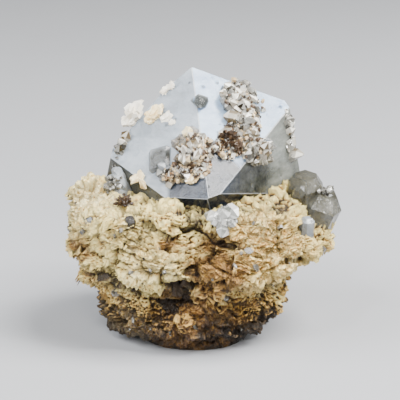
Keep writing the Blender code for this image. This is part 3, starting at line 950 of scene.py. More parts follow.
@dataclass(frozen=True)
class CrystalForm:
    """The large crystal as planes about its centre.

    Attributes:
        view: The camera, whose lines of sight place things on the faces.
        centre: The crystal's centre.
        axis: The direction of its front end.
        up: The direction between its first and its last face.
        slope: Angle between the axis and a face's plane.
        front: Distances of the six front faces from the centre.
        back: Distances of the six back faces.
        breaks: Directions and distances of the broken places.
        least_slope: The least climb at which a line is taken to meet a plane.
    """

    view: FrontView
    centre: Triple = (-0.3, 7.6, 23.0)
    axis: Triple = (0.0, -0.999, -0.047)
    up: Triple = (-0.165, -0.047, 0.985)
    slope: float = math.radians(51.8)
    front: tuple[float, ...] = (16.4, 14.5, 9.3, 7.8, 13.4, 14.7)
    back: tuple[float, ...] = (17.1, 14.1, 14.6, 14.6, 14.8, 15.3)
    breaks: tuple[tuple[Triple, float], ...] = (
        ((0.10, 0.99, 0.08), 9.9), ((-0.45, 0.85, 0.28), 11.2), ((0.15, 0.72, -0.68), 14.2),
        ((0.62, 0.70, 0.36), 16.3), ((-0.75, 0.25, 0.62), 16.6), ((-0.97, 0.05, 0.22), 17.2),
        ((0.93, 0.30, 0.20), 20.4), ((0.0, 0.0, -1.0), 12.5))
    least_slope: float = 1e-3

    def directions(self) -> tuple[Points, Points, Points]:
        """Give the crystal's axis and the two directions across it, up and right."""
        axis = unit(np.array(self.axis))
        up = np.array(self.up)
        up = unit(up - np.dot(up, axis) * axis)
        return axis, up, np.cross(up, axis)

    def normals(self, side: int) -> Points:
        """Give the six face normals of the front end, side 1, or the back end, side -1."""
        axis, up, right = self.directions()
        turns = np.radians(30.0 + 60.0 * np.arange(6))
        across = np.outer(np.cos(turns), up) + np.outer(np.sin(turns), right)
        return math.sin(self.slope) * across + side * math.cos(self.slope) * axis

    def planes(self) -> tuple[Points, Points]:
        """Give every plane of the body: its normals, and its distances from the centre."""
        broken = unit(np.array([way for way, reach in self.breaks]))
        normals = np.concatenate([self.normals(1), self.normals(-1), broken])
        reach = np.array([*self.front, *self.back, *(reach for way, reach in self.breaks)])
        return normals, reach

    def beyond(self, points: Points) -> Points:
        """Give how far each point lies outside the body, or below zero inside it."""
        normals, reach = self.planes()
        return ((points - np.array(self.centre)) @ normals.T - reach).max(axis=-1)

    def drop_out(self, points: Points, spare: float, back: float = 5.0,
                 thin: float = 4.0) -> Points:
        """Move each point that is inside the body straight down to just below it.

        At the back a point that is only a little inside moves straight out instead.

        Args:
            points: Places in millimetres.
            spare: Distance kept from the body.
            back: Where the back starts, along y.
            thin: The farthest that a point moves out.

        Returns:
            The moved points; points outside the body stay.
        """
        normals, reach = self.planes()
        from_centre = points - np.array(self.centre)
        depth = reach + spare - from_centre @ normals.T
        inside = np.all(depth > 0.0, axis=-1)
        falls = -normals[:, 2]
        with np.errstate(divide="ignore", invalid="ignore"):
            travel = np.where(falls > self.least_slope, depth / falls, np.inf).min(axis=-1)
            away = unit(from_centre * np.array([1.0, 1.0, 0.0]))
            climbs = away @ normals.T
            outward = np.where(climbs > self.least_slope, depth / climbs, np.inf).min(axis=-1)
        aside = inside & (points[..., 1] > back) & (outward < thin)
        moved = points + away * np.where(aside, outward, 0.0)[..., None]
        moved[..., 2] -= np.where(inside & ~aside, travel, 0.0)
        return moved

    def on_face(self, places: Points) -> tuple[Points, Points]:
        """Find where the line of sight at each (right, up) place meets the front faces.

        Args:
            places: Offsets from the aim point, to the right and up.

        Returns:
            The points, and the normals of the faces there.
        """
        right, up, towards = self.view.axes()
        eye = self.view.eye()
        ways = unit(places[:, :1] * right + places[:, 1:2] * up - self.view.distance * towards)
        normals = self.normals(1)
        steep = ways @ normals.T
        start = np.array(self.front) - normals @ (eye - np.array(self.centre))
        depth = np.where(steep < -1e-6, start / np.minimum(steep, -1e-6), -1e9)
        face = depth.argmax(axis=1)
        reach = depth.max(axis=1)
        return eye + reach[:, None] * ways, normals[face]

    @cached_property
    def solid(self) -> BVHTree:
        """Give the kept crystal's own faces, in metres, ready for rays."""
        kept = bpy.data.objects["main_crystal"]
        corners = [kept.matrix_world @ vertex.co for vertex in kept.data.vertices]
        return BVHTree.FromPolygons(corners, [tuple(face.vertices) for face in kept.data.polygons])

    def on_solid(self, places: Points) -> tuple[Points, Points]:
        """Find where the line of sight at each (right, up) place meets the kept crystal.

        Args:
            places: Offsets from the aim point, to the right and up.

        Returns:
            The points and the normals there; a line that misses keeps the plain face's.
        """
        points, normals = self.on_face(places)
        eye = self.view.eye()
        start = Vector(eye * MM)
        for number, way in enumerate(unit(points - eye)):
            place, normal, _, _ = self.solid.ray_cast(start, Vector(way))
            if place is not None:
                points[number] = np.array(place) / MM
                normals[number] = normal
        return points, normals


class Reach(Enum):
    """How a spot on the large crystal takes hold."""

    RAISED = "only on what stands out of the faces"
    RAGGED = "in uneven patches"
    EVEN = "evenly, with a firm edge"


@dataclass(frozen=True)
class Spot:
    """A round place on the large crystal with a colour laid on it: some spots are the crystal's own
    marks, some are painted shade.

    Its place is the offset from the aim point, to the right and up.
    """

    place: Pair
    radius: float
    dark: Colour
    light: Colour
    share: float
    kind: Reach


@dataclass(frozen=True)
class LargeCrystalFinish:
    """Milky quartz whose faces differ in tint by painted light and shade, with painted highlights on
    the edges and clear places darkened by painted shade.
    """

    form: CrystalForm
    plain: tuple[Colour, Colour] = ((0.24, 0.26, 0.28), (0.54, 0.58, 0.61))
    # Painted light and shade: each front face's clear and clouded tints, pale and bluish on the upper
    # faces that take the lamps' sheen, dark on the side and lower faces
    faces: tuple[tuple[Colour, Colour], ...] = (
        ((0.36, 0.53, 0.84), (0.62, 0.82, 1.0)), ((0.13, 0.14, 0.12), (0.38, 0.40, 0.365)),
        ((0.07, 0.075, 0.065), (0.24, 0.255, 0.235)), ((0.08, 0.08, 0.07), (0.26, 0.27, 0.25)),
        ((0.036, 0.037, 0.031), (0.125, 0.128, 0.112)), ((0.33, 0.39, 0.45), (0.54, 0.61, 0.69)))
    # Painted highlight along the edges
    edge: Colour = (0.88, 0.92, 0.97)
    spots: tuple[Spot, ...] = (
        # Painted shade: the first three spots darken the tip, a patch low on the right face and the
        # tip's foot
        Spot((0.9, 3.0), 7.7, (0.022, 0.029, 0.043), (0.066, 0.084, 0.12), 1.0, Reach.EVEN),
        Spot((9.4, 3.6), 6.2, (0.003, 0.0035, 0.003), (0.045, 0.05, 0.043), 1.0, Reach.RAGGED),
        Spot((6.6, 2.0), 2.6, (0.012, 0.013, 0.012), (0.12, 0.13, 0.12), 0.8, Reach.RAGGED),
        Spot((-6.8, 7.0), 3.2, (0.025, 0.027, 0.025), (0.12, 0.13, 0.12), 0.95, Reach.RAISED),
        Spot((0.0, 16.9), 2.3, (0.06, 0.065, 0.06), (0.13, 0.14, 0.13), 0.95, Reach.RAISED),
        Spot((-6.0, 3.9), 2.0, (0.12, 0.12, 0.11), (0.5, 0.5, 0.47), 0.7, Reach.RAISED),
        Spot((6.3, 18.0), 4.8, (0.10, 0.075, 0.04), (0.90, 0.84, 0.70), 1.0, Reach.RAISED),
        Spot((7.9, 13.6), 5.0, (0.09, 0.065, 0.03), (0.80, 0.70, 0.54), 1.0, Reach.RAISED),
        Spot((9.9, 8.2), 4.6, (0.10, 0.085, 0.05), (0.80, 0.76, 0.64), 1.0, Reach.RAISED),
        Spot((-1.3, 8.6), 5.0, (0.05, 0.032, 0.014), (0.66, 0.52, 0.34), 1.0, Reach.RAISED),
        Spot((-17.0, 2.6), 5.0, (0.22, 0.21, 0.16), (0.62, 0.62, 0.54), 0.8, Reach.RAISED))
    # How strong the painted edge highlight is
    edge_highlight_share: float = 0.45
    etched: Colour = (0.12, 0.13, 0.13)
    transmission: Pair = (0.32, 0.52)
    roughness: Pair = (0.06, 0.24)
    tint: Colour = (0.70, 0.77, 0.84)
    density: float = 30.0
    shine: float = 0.22

    def painted_face_light(self, wiring: Wiring, cloud: Socket, offs: list[Socket]) -> Socket:
        """Give each face its own two tints, clear and clouded, where the surface lies on it: painted
        light and shade, pale and bluish on the upper faces and darker on the side and lower ones.
        """
        colour = wiring.mix(cloud, *self.plain)
        for off, lit_tints in zip(offs, self.faces):
            colour = wiring.mix(wiring.step(off, 0.00008, 0.00016, 1.0, 0.0), colour,
                                wiring.mix(cloud, *lit_tints))
        return colour

    def spotted(self, wiring: Wiring, colour: Socket, heights: list[Socket],
                ragged: Socket) -> Socket:
        """Add the spots: painted shade on the tip and low on its right, and the crystal's own marks.
            heights: How far the surface lies above each face's plane.
            ragged: An uneven pattern.

        Returns:
            The colour with the spots.
        """
        stands = wiring.step(wiring.over_all("MAXIMUM", heights), 0.00012, 0.0003)
        glint = wiring.step(wiring.noise(1900.0, 4.0, 0.8), 0.40, 0.68)
        held = {Reach.RAISED: stands, Reach.RAGGED: ragged}
        for spot in self.spots:
            middle = self.form.on_face(np.array([spot.place]))[0][0]
            share = wiring.beside(middle, spot.radius, 0.55 if spot.kind in held else 0.9)
            if spot.kind in held:
                share = wiring.math("MULTIPLY", share, held[spot.kind])
            colour = wiring.mix(wiring.math("MULTIPLY", share, spot.share), colour,
                                wiring.mix(glint, spot.dark, spot.light))
        return colour

    def edge_highlights_and_pits(self, wiring: Wiring, colour: Socket, offs: list[Socket], ragged: Socket) -> Socket:
        """Add painted highlights along the edges, which lie close to two faces at once, and dark
        etched dots.
        """
        close = [wiring.step(off, 0.00002, 0.00015, 1.0, 0.0) for off in offs]
        highlight_edges = wiring.step(wiring.over_all("ADD", close), 1.3, 1.95)
        share = wiring.math("MULTIPLY", wiring.math("MULTIPLY", highlight_edges, ragged), self.edge_highlight_share)
        dots = wiring.step(wiring.dots(400.0), 0.07, 0.13, 0.7, 0.0)
        return wiring.mix(dots, wiring.mix(share, colour, self.edge), self.etched)

    def build(self) -> bpy.types.Material:
        """Build the material."""
        wiring = Wiring("large crystal")
        veils = wiring.step(wiring.noise(150.0, 7.0, 0.66), 0.36, 0.66)
        wisps = wiring.step(wiring.noise(90.0, 6.0, 0.7, (1.0, 0.7, 2.6)), 0.40, 0.62)
        cloud = wiring.math("MULTIPLY", wiring.math("ADD", veils, wisps), 0.5)
        ragged = wiring.step(wiring.noise(330.0, 6.0, 0.7), 0.35, 0.6, 0.6, 1.0)
        centre = np.array(self.form.centre)
        heights = [wiring.above(normal, reach + float(centre @ normal))
                   for normal, reach in zip(self.form.normals(1), self.form.front)]
        offs = [wiring.math("ABSOLUTE", height) for height in heights]
        colour = self.painted_face_light(wiring, cloud, offs)
        colour = self.spotted(wiring, colour, heights, ragged)
        milky, clear = self.transmission
        wiring.feed(wiring.shader, {
            "Base Color": self.edge_highlights_and_pits(wiring, colour, offs, ragged),
            "Roughness": wiring.step(cloud, 0.2, 0.9, *self.roughness),
            "Transmission Weight": wiring.step(cloud, 0.1, 0.9, clear, milky),
            "IOR": QUARTZ_IOR, "Specular IOR Level": self.shine})
        wiring.bump(wiring.noise(240.0, 3.0, 0.5, (1.0, 1.0, 2.4)), 0.00010)
        wiring.bump(wiring.step(wiring.dots(400.0), 0.07, 0.16), 0.00009)
        wiring.bump(wiring.step(wiring.noise(520.0, 5.0, 0.62), 0.46, 0.54), 0.000018)
        wiring.bump(wiring.noise(2600.0, 3.0, 0.6), 0.00002)
        wiring.absorb(self.tint, self.density)
        return wiring.material


@dataclass(frozen=True)
class Cluster:
    """A patch of small crystals and grains on the large crystal, as seen from the front.

    Attributes:
        centre: Its offset from the aim point, to the right and up.
        half: Half its width and half its height.
        turn: Radians that it is turned.
        crystals: How many crystals it has before they are shared out.
        grains: How many grains it has before they are shared out.
    """

    centre: Pair
    half: Pair
    turn: float
    crystals: int
    grains: int


@dataclass
class DruseCrust:
    """The small clear crystals on the large one, and the grains caught among them."""

    form: CrystalForm
    clusters: tuple[Cluster, ...] = (
        Cluster((6.2, 18.2), (2.0, 2.6), 0.2, 90, 90),
        Cluster((7.9, 13.4), (2.5, 3.4), -0.3, 130, 140),
        Cluster((9.6, 8.9), (2.8, 1.9), 0.2, 80, 60),
        Cluster((4.9, 9.6), (2.4, 2.6), 0.4, 26, 170),
        Cluster((-0.7, 8.8), (3.2, 2.6), 0.2, 84, 260),
        Cluster((-1.6, 5.4), (3.6, 2.2), 0.3, 26, 260),
        Cluster((-5.2, 4.2), (1.6, 1.4), 0.0, 12, 50),
        Cluster((9.6, 16.8), (1.5, 2.5), 0.5, 5, 6),
        Cluster((15.7, 11.5), (0.5, 4.4), 0.12, 30, 0),
        Cluster((-13.9, 8.8), (0.4, 3.4), -0.4, 16, 0),
    )
    crowding: float = 0.6
    size: Pair = (0.22, 1.15)
    length: Pair = (1.0, 1.9)
    lean: float = 1.15
    contrast: float = 1.3
    grain_size: Pair = (0.12, 0.58)
    grain_lift: float = 0.9
    grain_kinds: int = 3
    seed: int = 23

    def scatter(self, cluster: Cluster, count: int,
                chance: np.random.Generator) -> tuple[Points, Points]:
        """Pick places in a cluster, thicker towards its middle, and put them on the faces.

        Args:
            cluster: The cluster.
            count: How many places.
            chance: The source of chance.

        Returns:
            The points, and the normals of the faces there.
        """
        turn = chance.uniform(0.0, 2.0 * math.pi, count)
        reach = chance.uniform(0.0, 1.0, count) ** self.crowding
        flat = np.stack([np.cos(turn) * cluster.half[0], np.sin(turn) * cluster.half[1]], axis=-1)
        flat = flat * reach[:, None]
        cosine, sine = math.cos(cluster.turn), math.sin(cluster.turn)
        flat = flat @ np.array([[cosine, sine], [-sine, cosine]])
        return self.form.on_solid(flat + np.array(cluster.centre))

    def crystals(self, name: str, finish: Finish, share: float, seed: int) -> None:
        """Make the small crystals of every cluster in one piece.

        Args:
            name: The piece's name.
            finish: Its finish.
            share: The part of each cluster's crystals that it makes.
            seed: Which scatter to use.
        """
        chance = np.random.default_rng(seed)
        places, ways = [], []
        for cluster in self.clusters:
            points, normals = self.scatter(cluster, round(share * cluster.crystals), chance)
            places.append(points)
            ways.append(normals + self.lean * chance.uniform(-1.0, 1.0, normals.shape))
        place, way = np.concatenate(places), np.concatenate(ways)
        count = len(place)
        radius = mostly_small(chance, self.size, 2.0, count)
        long = radius * chance.uniform(*self.length, count)
        sizes = np.stack([radius, radius * chance.uniform(0.7, 1.0, count), long], axis=-1)
        crystal_piece(name, place, frames_along(way, spins(chance, count)), sizes, chance, finish,
                      contrast=self.contrast)

    def grains(self, name: str, finish: Finish, slot: str, share: float, seed: int) -> None:
        """Make the grains between the small crystals of every cluster in one piece.

        Args:
            name: The piece's name.
            finish: Its finish.
            slot: A material slot's name, which is not used.
            share: The part of each cluster's grains that it makes.
            seed: Which scatter to use.
        """
        chance = np.random.default_rng(seed)
        gathered = Gathered()
        for kind in range(self.grain_kinds):
            for cluster in self.clusters:
                count = round(share * cluster.grains / self.grain_kinds)
                place, normal = self.scatter(cluster, count, chance)
                size = mostly_small(chance, self.grain_size, 2.0, (count, 1))
                size = size * chance.uniform(0.6, 1.25, (count, 3))
                place = place + normal * chance.uniform(0.0, self.grain_lift, (count, 1))
                gathered.add(Shape.crumb(kind), place, tumbled(chance, count), size,
                             tone=chance.uniform(0.0, 1.0, count))
        points, faces, values = gathered.joined()
        finish_piece(make_piece(name, points, [faces], values), finish.material())

    def build(self) -> None:
        """Make the milky and the glassy crystals, and the cream and the rusty grains."""
        self.crystals("milky_druse", Finish.DRUSE, 0.6, self.seed)
        self.crystals("glassy_druse", Finish.GLASSY, 0.5, self.seed + 1)
        self.grains("cream_grains", Finish.GRAIN, "cream_feldspar", 0.7, self.seed + 2)
        self.grains("rusty_grains", Finish.RUST, "rusty_mica", 0.9, self.seed + 3)


# The matrix


@dataclass(frozen=True)
class Zone:
    """A round stretch of the matrix, with a colour of its own or with painted shade in a recess."""

    place: Triple
    radius: float
    amount: float


@dataclass(frozen=True)
class ChipSize:
    """One size of the chips that the rock is broken into.

    Attributes:
        size: Width of a chip.
        squash: How much flatter than wide it is.
        seed: Which scatter of chips to use.
        step: How far a chip's own level moves it.
        middle: The level that leaves a chip in its place.
        tilt: How far a chip's own tilt moves its sides.
        gap: Depth of the gap round it.
        tone: Share that it has in the rock's tone.
        bent: Whether the chips bend with the rock's broad noise.
    """

    size: float
    squash: float
    seed: int
    step: float
    middle: float
    tilt: float
    gap: float = 0.0
    tone: float = 0.0
    bent: bool = True


@dataclass(frozen=True)
class Broken:
    """The broken relief of the rock: its rise, the depth of its gaps, its tone and its pages."""

    rise: Points
    gap: Points
    tone: Points
    pages: Points


@dataclass(frozen=True)
class Books:
    """A scatter of books of thin bent mica plates.

    Attributes:
        name: The piece's name.
        count: How many books.
        long: The least and the most half length of a plate.
        seed: Which scatter to use.
        regions: Size of the regions within which the books lie alike.
        sheets: Plates in a book.
        thick: The least and the most thickness of a plate.
        spacing: The least and the most distance between plates, in thicknesses.
        width: The least and the most width of a plate, in lengths.
    """

    name: str
    count: int
    long: Pair
    seed: int
    regions: float
    sheets: int = 5
    thick: Pair = (0.045, 0.085)
    spacing: Pair = (1.5, 2.4)
    width: Pair = (0.22, 0.62)


@dataclass(frozen=True)
class RockSkin:
    """The finished surface of the rock, which the small pieces grow from."""

    grid: Points
    normal: Points
    hollow: Points

    def pick(self, chance: np.random.Generator, count: int, below: int,
             above: int) -> tuple[Points, Points, Points]:
        """Pick points of the surface by chance.

        Args:
            chance: The source of chance.
            count: How many points.
            below: Rows at the foot that are left out.
            above: Rows at the top that are left out.

        Returns:
            The points, their outward directions and the painted shade of their hollows.
        """
        span = slice(below, len(self.grid) - above)
        places = self.grid[span].reshape(-1, 3)
        picked = chance.choice(len(places), count, replace=False)
        return (places[picked], self.normal[span].reshape(-1, 3)[picked],
                self.hollow[span].reshape(-1)[picked])


@dataclass
class MatrixRock:
    """The craggy lump: a rounded square whose sides follow four outlines, then broken up."""

    form: CrystalForm
    axis: Pair = (-1.0, 0.5)
    # Outlines: a height, and how far that side reaches there
    left: tuple[Pair, ...] = (
        (0.0, 10.4), (1.2, 12.6), (3.5, 15.9), (7.5, 16.4), (9.5, 18.2), (11.7, 20.6),
        (14.6, 21.2), (17.2, 21.4), (19.0, 22.6), (22.0, 23.2), (24.4, 22.8), (25.4, 20.4))
    right: tuple[Pair, ...] = (
        (0.0, 9.0), (1.2, 10.4), (4.0, 13.6), (6.6, 15.6), (9.9, 16.8), (11.7, 17.9),
        (14.6, 19.6), (16.4, 21.6), (18.3, 23.2), (20.4, 22.4), (23.0, 20.4), (25.4, 17.8))
    front: tuple[Pair, ...] = (
        (0.0, 12.6), (3.0, 14.4), (8.0, 15.4), (12.0, 17.6), (16.0, 18.3), (20.0, 17.9),
        (24.0, 16.4), (25.4, 14.4))
    back: tuple[Pair, ...] = (
        (0.0, 8.5), (3.0, 12.0), (7.0, 16.0), (11.0, 18.4), (17.0, 19.0), (22.0, 18.2),
        (25.4, 15.4))
    # The top's edge and its low dome
    rim: float = 25.4
    dome: float = 0.6
    squareness: float = 2.35
    # Rises and dips of the edge: right, back, radius and rise
    rim_forms: tuple[tuple[float, float, float, float], ...] = (
        (-20.5, 1.5, 4.6, 2.6), (-12.0, -9.0, 4.5, -0.8), (17.0, 5.0, 5.0, 0.8),
        (2.0, 16.0, 9.0, 3.0), (20.5, -6.5, 5.0, -5.5))
    rim_start: float = 14.0
    # Lumps and hollows: a place, a radius and a rise
    forms: tuple[tuple[float, float, float, float, float], ...] = (
        (-21.5, 1.0, 24.0, 4.0, 1.4), (-16.8, -5.0, 4.0, 3.6, 1.8), (-6.6, -17.5, 16.8, 3.6, 1.7),
        (-12.0, -15.5, 15.5, 3.0, 1.1), (-15.5, -13.5, 20.5, 3.4, 1.0),
        (-9.5, -16.5, 22.0, 2.6, -1.3), (-3.8, -15.5, 11.6, 3.2, -3.4),
        (-8.6, -15.0, 11.4, 2.6, -2.4), (-1.0, -15.0, 5.5, 4.0, 1.6), (-9.5, -13.0, 5.0, 3.0, 1.1),
        (-5.5, -18.0, 20.6, 1.5, -1.9), (2.5, -17.5, 19.0, 3.2, -0.9), (6.5, -16.0, 9.5, 2.6, -1.3),
        (7.5, -16.5, 15.0, 3.4, 0.9), (13.5, -13.5, 21.0, 3.8, 1.3), (14.5, -12.0, 14.5, 3.0, 1.2),
        (10.5, -15.0, 18.0, 1.8, -1.3), (19.5, -2.0, 17.0, 3.0, 0.9), (13.0, -8.0, 7.5, 3.0, 0.9),
        (-20.0, -8.5, 17.5, 3.0, 1.3), (-18.0, -9.5, 11.5, 2.2, -1.1), (0.0, 16.5, 12.0, 4.5, -1.6),
        (9.0, 14.5, 19.0, 4.0, 1.2), (-11.0, 14.0, 16.0, 4.5, 1.2), (-18.5, 9.5, 12.0, 3.0, -1.4),
        (15.5, 9.5, 12.0, 3.2, 1.2))
    foot_height: float = 1.6
    # Broad noise: size and rise
    noise: tuple[Pair, ...] = ((8.0, 1.5), (3.7, 0.95))
    top_calm: float = 0.75
    # Ledges: pitch, depth, and tilts to the right and to the back
    ledge: tuple[float, float, float, float] = (4.4, 0.32, 0.42, 0.10)
    ledge_wave: float = 0.9
    ledge_cells: float = 6.0
    # How far the plain form lies inside the outlines
    inset: float = 0.35
    # Bends of the chips and pages: depth, size and one seed for each direction
    bend: float = 0.8
    bend_size: float = 3.1
    bend_seeds: tuple[int, int, int] = (51, 52, 53)
    chips: tuple[ChipSize, ...] = (
        ChipSize(4.6, 1.6, 100, step=1.4, middle=0.60, tilt=1.2, gap=0.5, tone=0.5),
        ChipSize(2.1, 2.0, 200, step=0.45, middle=0.5, tilt=0.60, gap=0.16, tone=0.28),
        ChipSize(0.95, 2.2, 300, step=0.20, middle=0.5, tilt=0.38, tone=0.22),
        ChipSize(0.48, 1.4, 400, step=0.14, middle=0.5, tilt=0.30, bent=False))
    gap_width: float = 0.07
    # Pages of mica, which lie alike within a book of a size and a squash
    page_pitch: float = 0.52
    page_depth: float = 0.80
    page_book: float = 2.6
    page_squash: float = 1.3
    page_seed: int = 800
    page_wave: float = 0.35
    # Distance kept from the large crystal, and where the rock's back starts
    crystal_gap: float = 0.04
    back_start: float = 3.0
    # Zones of colour are ragged by a noise of a share, a size and a seed
    ragged: float = 0.6
    ragged_size: float = 1.7
    ragged_seed: int = 41
    # Painted shade, darker from a height down to the foot
    shade: float = 2.4
    shade_top: float = 14.5
    # The grid of points, whose columns are closer together at the front
    columns: int = 430
    rows: int = 176
    top_rows: int = 44
    front_share: float = 0.42
    # Two recesses of painted shade: a place, a radius and a strength
    recess_shade: tuple[Zone, ...] = (
        Zone((-4.5, -14.0, 11.4), 3.2, 0.9), Zone((-5.5, -17.5, 20.8), 1.1, 0.8))
    gold: tuple[Zone, ...] = (
        Zone((13.0, -14.0, 19.0), 7.5, 1.0), Zone((8.0, -17.0, 22.0), 4.5, 0.8),
        Zone((-19.0, -8.0, 13.0), 4.0, 0.6), Zone((-10.0, -16.0, 20.0), 4.0, 0.25),
        Zone((-14.0, -10.0, 8.0), 5.0, 0.35), Zone((3.0, 17.0, 16.0), 6.0, 0.5))
    rust: tuple[Zone, ...] = (
        Zone((1.0, -18.0, 18.5), 4.2, 0.55), Zone((3.5, -18.0, 14.5), 4.4, 0.50),
        Zone((-20.5, -8.0, 18.0), 2.6, 0.75), Zone((-3.5, -14.0, 11.0), 4.0, 0.55),
        Zone((-2.0, -13.0, 3.0), 8.0, 0.15), Zone((-6.0, -17.5, 21.0), 1.6, 0.8),
        Zone((8.0, -15.0, 9.0), 3.0, 0.45), Zone((20.0, -4.0, 15.0), 3.0, 0.4),
        Zone((-10.0, 14.0, 14.0), 5.0, 0.4), Zone((12.0, 12.0, 8.0), 5.0, 0.4))
    pale: tuple[Zone, ...] = (
        Zone((-6.6, -18.5, 17.0), 2.6, 0.85), Zone((-11.0, -16.5, 15.5), 2.4, 0.7),
        # Partly painted light: the first zone here is pale stone at the left lobe's top, made paler
        # still where the large crystal shades it
        Zone((-20.5, -4.5, 26.5), 7.0, 1.4), Zone((-12.5, -14.5, 21.5), 3.6, 0.6),
        Zone((14.5, -13.0, 15.5), 2.6, 0.55), Zone((6.0, -17.0, 12.5), 1.8, 0.4),
        Zone((10.0, -15.0, 24.0), 3.0, 0.45))
    # Books of mica, the rows left out at the foot, and limits on every side of them
    books: tuple[Books, ...] = (
        Books("mica_books", count=230, long=(0.5, 2.4), seed=77, regions=5.0),
        Books("mica_scales", count=240, long=(0.22, 0.8), seed=78, regions=3.0))
    book_foot: int = 8
    widest: float = 22.0
    deepest: float = 18.5
    lowest: float = 0.9
    nearest: float = 0.4
    # Quartz grains, and the rows that are left out at the foot
    bits: int = 70
    bit_size: Pair = (0.25, 0.80)
    bit_foot: int = 20
    bits_seed: int = 79

    def columns_angle(self) -> Points:
        """Give the angle of each column, closer together at the front."""
        even = np.linspace(0.0, 2.0 * math.pi, self.columns, endpoint=False)
        return even - self.front_share * np.cos(even)

    def plain(self) -> Points:
        """Give the unbroken form as rows of points from the base to the top.

        A row is a rounded square whose four sides reach as far as the outlines say. The
        last rows draw in over the top as a low dome.
        """
        angle = self.columns_angle()[None, :]
        side = np.linspace(0.0, self.rim, self.rows)
        over = np.linspace(0.0, 1.0, self.top_rows + 2)[1:-1]
        height = np.concatenate([side, self.rim + self.dome * np.sin(0.5 * math.pi * over)])[:, None]
        drawn_in = np.concatenate([np.ones(self.rows), 1.0 - over])[:, None]
        power = 2.0 / self.squareness
        across = np.sign(np.cos(angle)) * np.abs(np.cos(angle)) ** power
        along = np.sign(np.sin(angle)) * np.abs(np.sin(angle)) ** power
        left, right, front, back = (np.interp(height, *np.array(outline).T) for outline in (
            self.left, self.right, self.front, self.back))
        x = self.axis[0] + across * np.where(across > 0, right, left) * drawn_in
        y = self.axis[1] + along * np.where(along > 0, back, front) * drawn_in
        share = np.clip((height - self.rim_start) / (self.rim - self.rim_start), 0.0, 1.0)
        lift = sum(rise * np.exp(-((x - place_x) ** 2 + (y - place_y) ** 2) / radius ** 2)
                   for place_x, place_y, radius, rise in self.rim_forms)
        return np.stack([x, y, height + share * lift], axis=-1)

    @staticmethod
    def outward(grid: Points) -> Points:
        """Give the outward direction at each grid point from its neighbours."""
        round_way = np.roll(grid, -1, axis=1) - np.roll(grid, 1, axis=1)
        return unit(np.cross(round_way, np.gradient(grid, axis=0)))

    def coarse_rise(self, points: Points) -> Points:
        """Say how far the lumps, hollows, ledges and broad noise stand out."""
        rise = np.zeros(points.shape[:-1])
        for x, y, z, radius, height in self.forms:
            rise += height * near(points, (x, y, z), radius)
        pitch, depth, tilt_x, tilt_y = self.ledge
        layer = (points[..., 2] + tilt_x * points[..., 0] + tilt_y * points[..., 1]
                 + self.ledge_wave * value_noise(points / self.ledge_cells, 5)) / pitch
        rise += depth * (2.0 * (layer - np.floor(layer)) - 1.0)
        for seed, (size, height) in enumerate(self.noise):
            rise += height * value_noise(points / size, seed)
        foot = np.clip(points[..., 2] / 3.0, 0.0, 1.0)
        top = np.clip(points[..., 2] - (self.rim - 1.5), 0.0, 1.0)
        return rise * foot * (1.0 - self.top_calm * top)

    def zones(self, points: Points, table: tuple[Zone, ...]) -> Points:
        """Give how strongly the zones of one colour act at each point, at most 1."""
        total = np.zeros(points.shape[:-1])
        for zone in table:
            total += zone.amount * near(points, zone.place, zone.radius)
        ragged = 1.0 + self.ragged * value_noise(points / self.ragged_size, self.ragged_seed)
        return np.clip(total * ragged, 0.0, 1.0)

    def stains(self, points: Points) -> dict[str, Points]:
        """Give how golden, rusty and pale each point is."""
        pale = self.zones(points, self.pale)
        return {"gold": self.zones(points, self.gold), "pale": pale,
                "rust": self.zones(points, self.rust) - 0.2 * pale}

    def foot_shade(self, points: Points) -> Points:
        """Give how much painted shade darkens the rock towards its foot, from 0 at the shade's top.
        """
        return self.shade * np.clip((self.shade_top - points[..., 2]) / self.shade_top, 0.0, 1.0)

    def page_value(self, points: Points) -> Points:
        """Give each point's place across the pages of its own book of mica, in millimetres.

        A book's pages are square to a direction of its own, and bend over a slow wave.
        """
        book = chipped(points, self.page_book, self.page_seed, self.page_squash)
        way = unit(np.stack([book.level - 0.5, 0.6 * (book.tone - 0.5), 0.45 + 0.0 * book.level], -1))
        phase = 1.3 * points[..., 0] + 1.7 * points[..., 2] + 9.0 * book.tone
        return np.einsum("...i,...i->...", way, points) + self.page_wave * np.sin(phase)

    @staticmethod
    def blurred(values: Points, reach: int) -> Points:
        """Average a grid of values over the neighbours up to a reach, both ways."""
        for axis in (0, 1):
            shifted = [np.roll(values, shift, axis=axis) for shift in range(-reach, reach + 1)]
            values = np.mean(shifted, axis=0)
        return values

    def broken(self, grid: Points) -> Broken:
        """Break a surface into chips and pages.

        A chip rises by its level less the middle one, times its step, and by its tilt. A
        page rises from both its edges to its middle line. The gaps round the larger chips
        are cut in.

        Args:
            grid: The surface's points.

        Returns:
            The broken relief at each point.
        """
        bends = np.stack([value_noise(grid / self.bend_size, seed) for seed in self.bend_seeds],
                         axis=-1)
        bent = grid + self.bend * bends
        found = [chipped(bent if kind.bent else grid, kind.size, kind.seed, kind.squash)
                 for kind in self.chips]
        pairs = list(zip(self.chips, found))
        rise = sum(kind.step * (chip.level - kind.middle) + kind.tilt * chip.tilt
                   for kind, chip in pairs)
        gap = sum(kind.gap * np.exp(-(chip.edge / self.gap_width) ** 2) for kind, chip in pairs)
        tone = sum(kind.tone * chip.tone for kind, chip in pairs)
        pages = self.page_value(bent)
        ridges = np.abs(np.mod(pages / self.page_pitch, 1.0) - 0.5) - 0.25
        rise = rise + self.page_depth * ridges * np.clip(2.0 * found[1].tone, 0.4, 1.4)
        return Broken(rise - gap, gap, tone, pages)

    def colouring(self, grid: Points, broken: Broken, fallen: Points) -> dict[str, Points]:
        """Work out the values that the material reads, with painted light and shade: crests are
        painted pale and hollows painted dark.

        Args:
            grid: The surface's points before they were broken up.
            broken: The broken relief there.
            fallen: How far each point at the back was moved down.

        Returns:
            The values of each point.
        """
        stains = self.stains(grid)
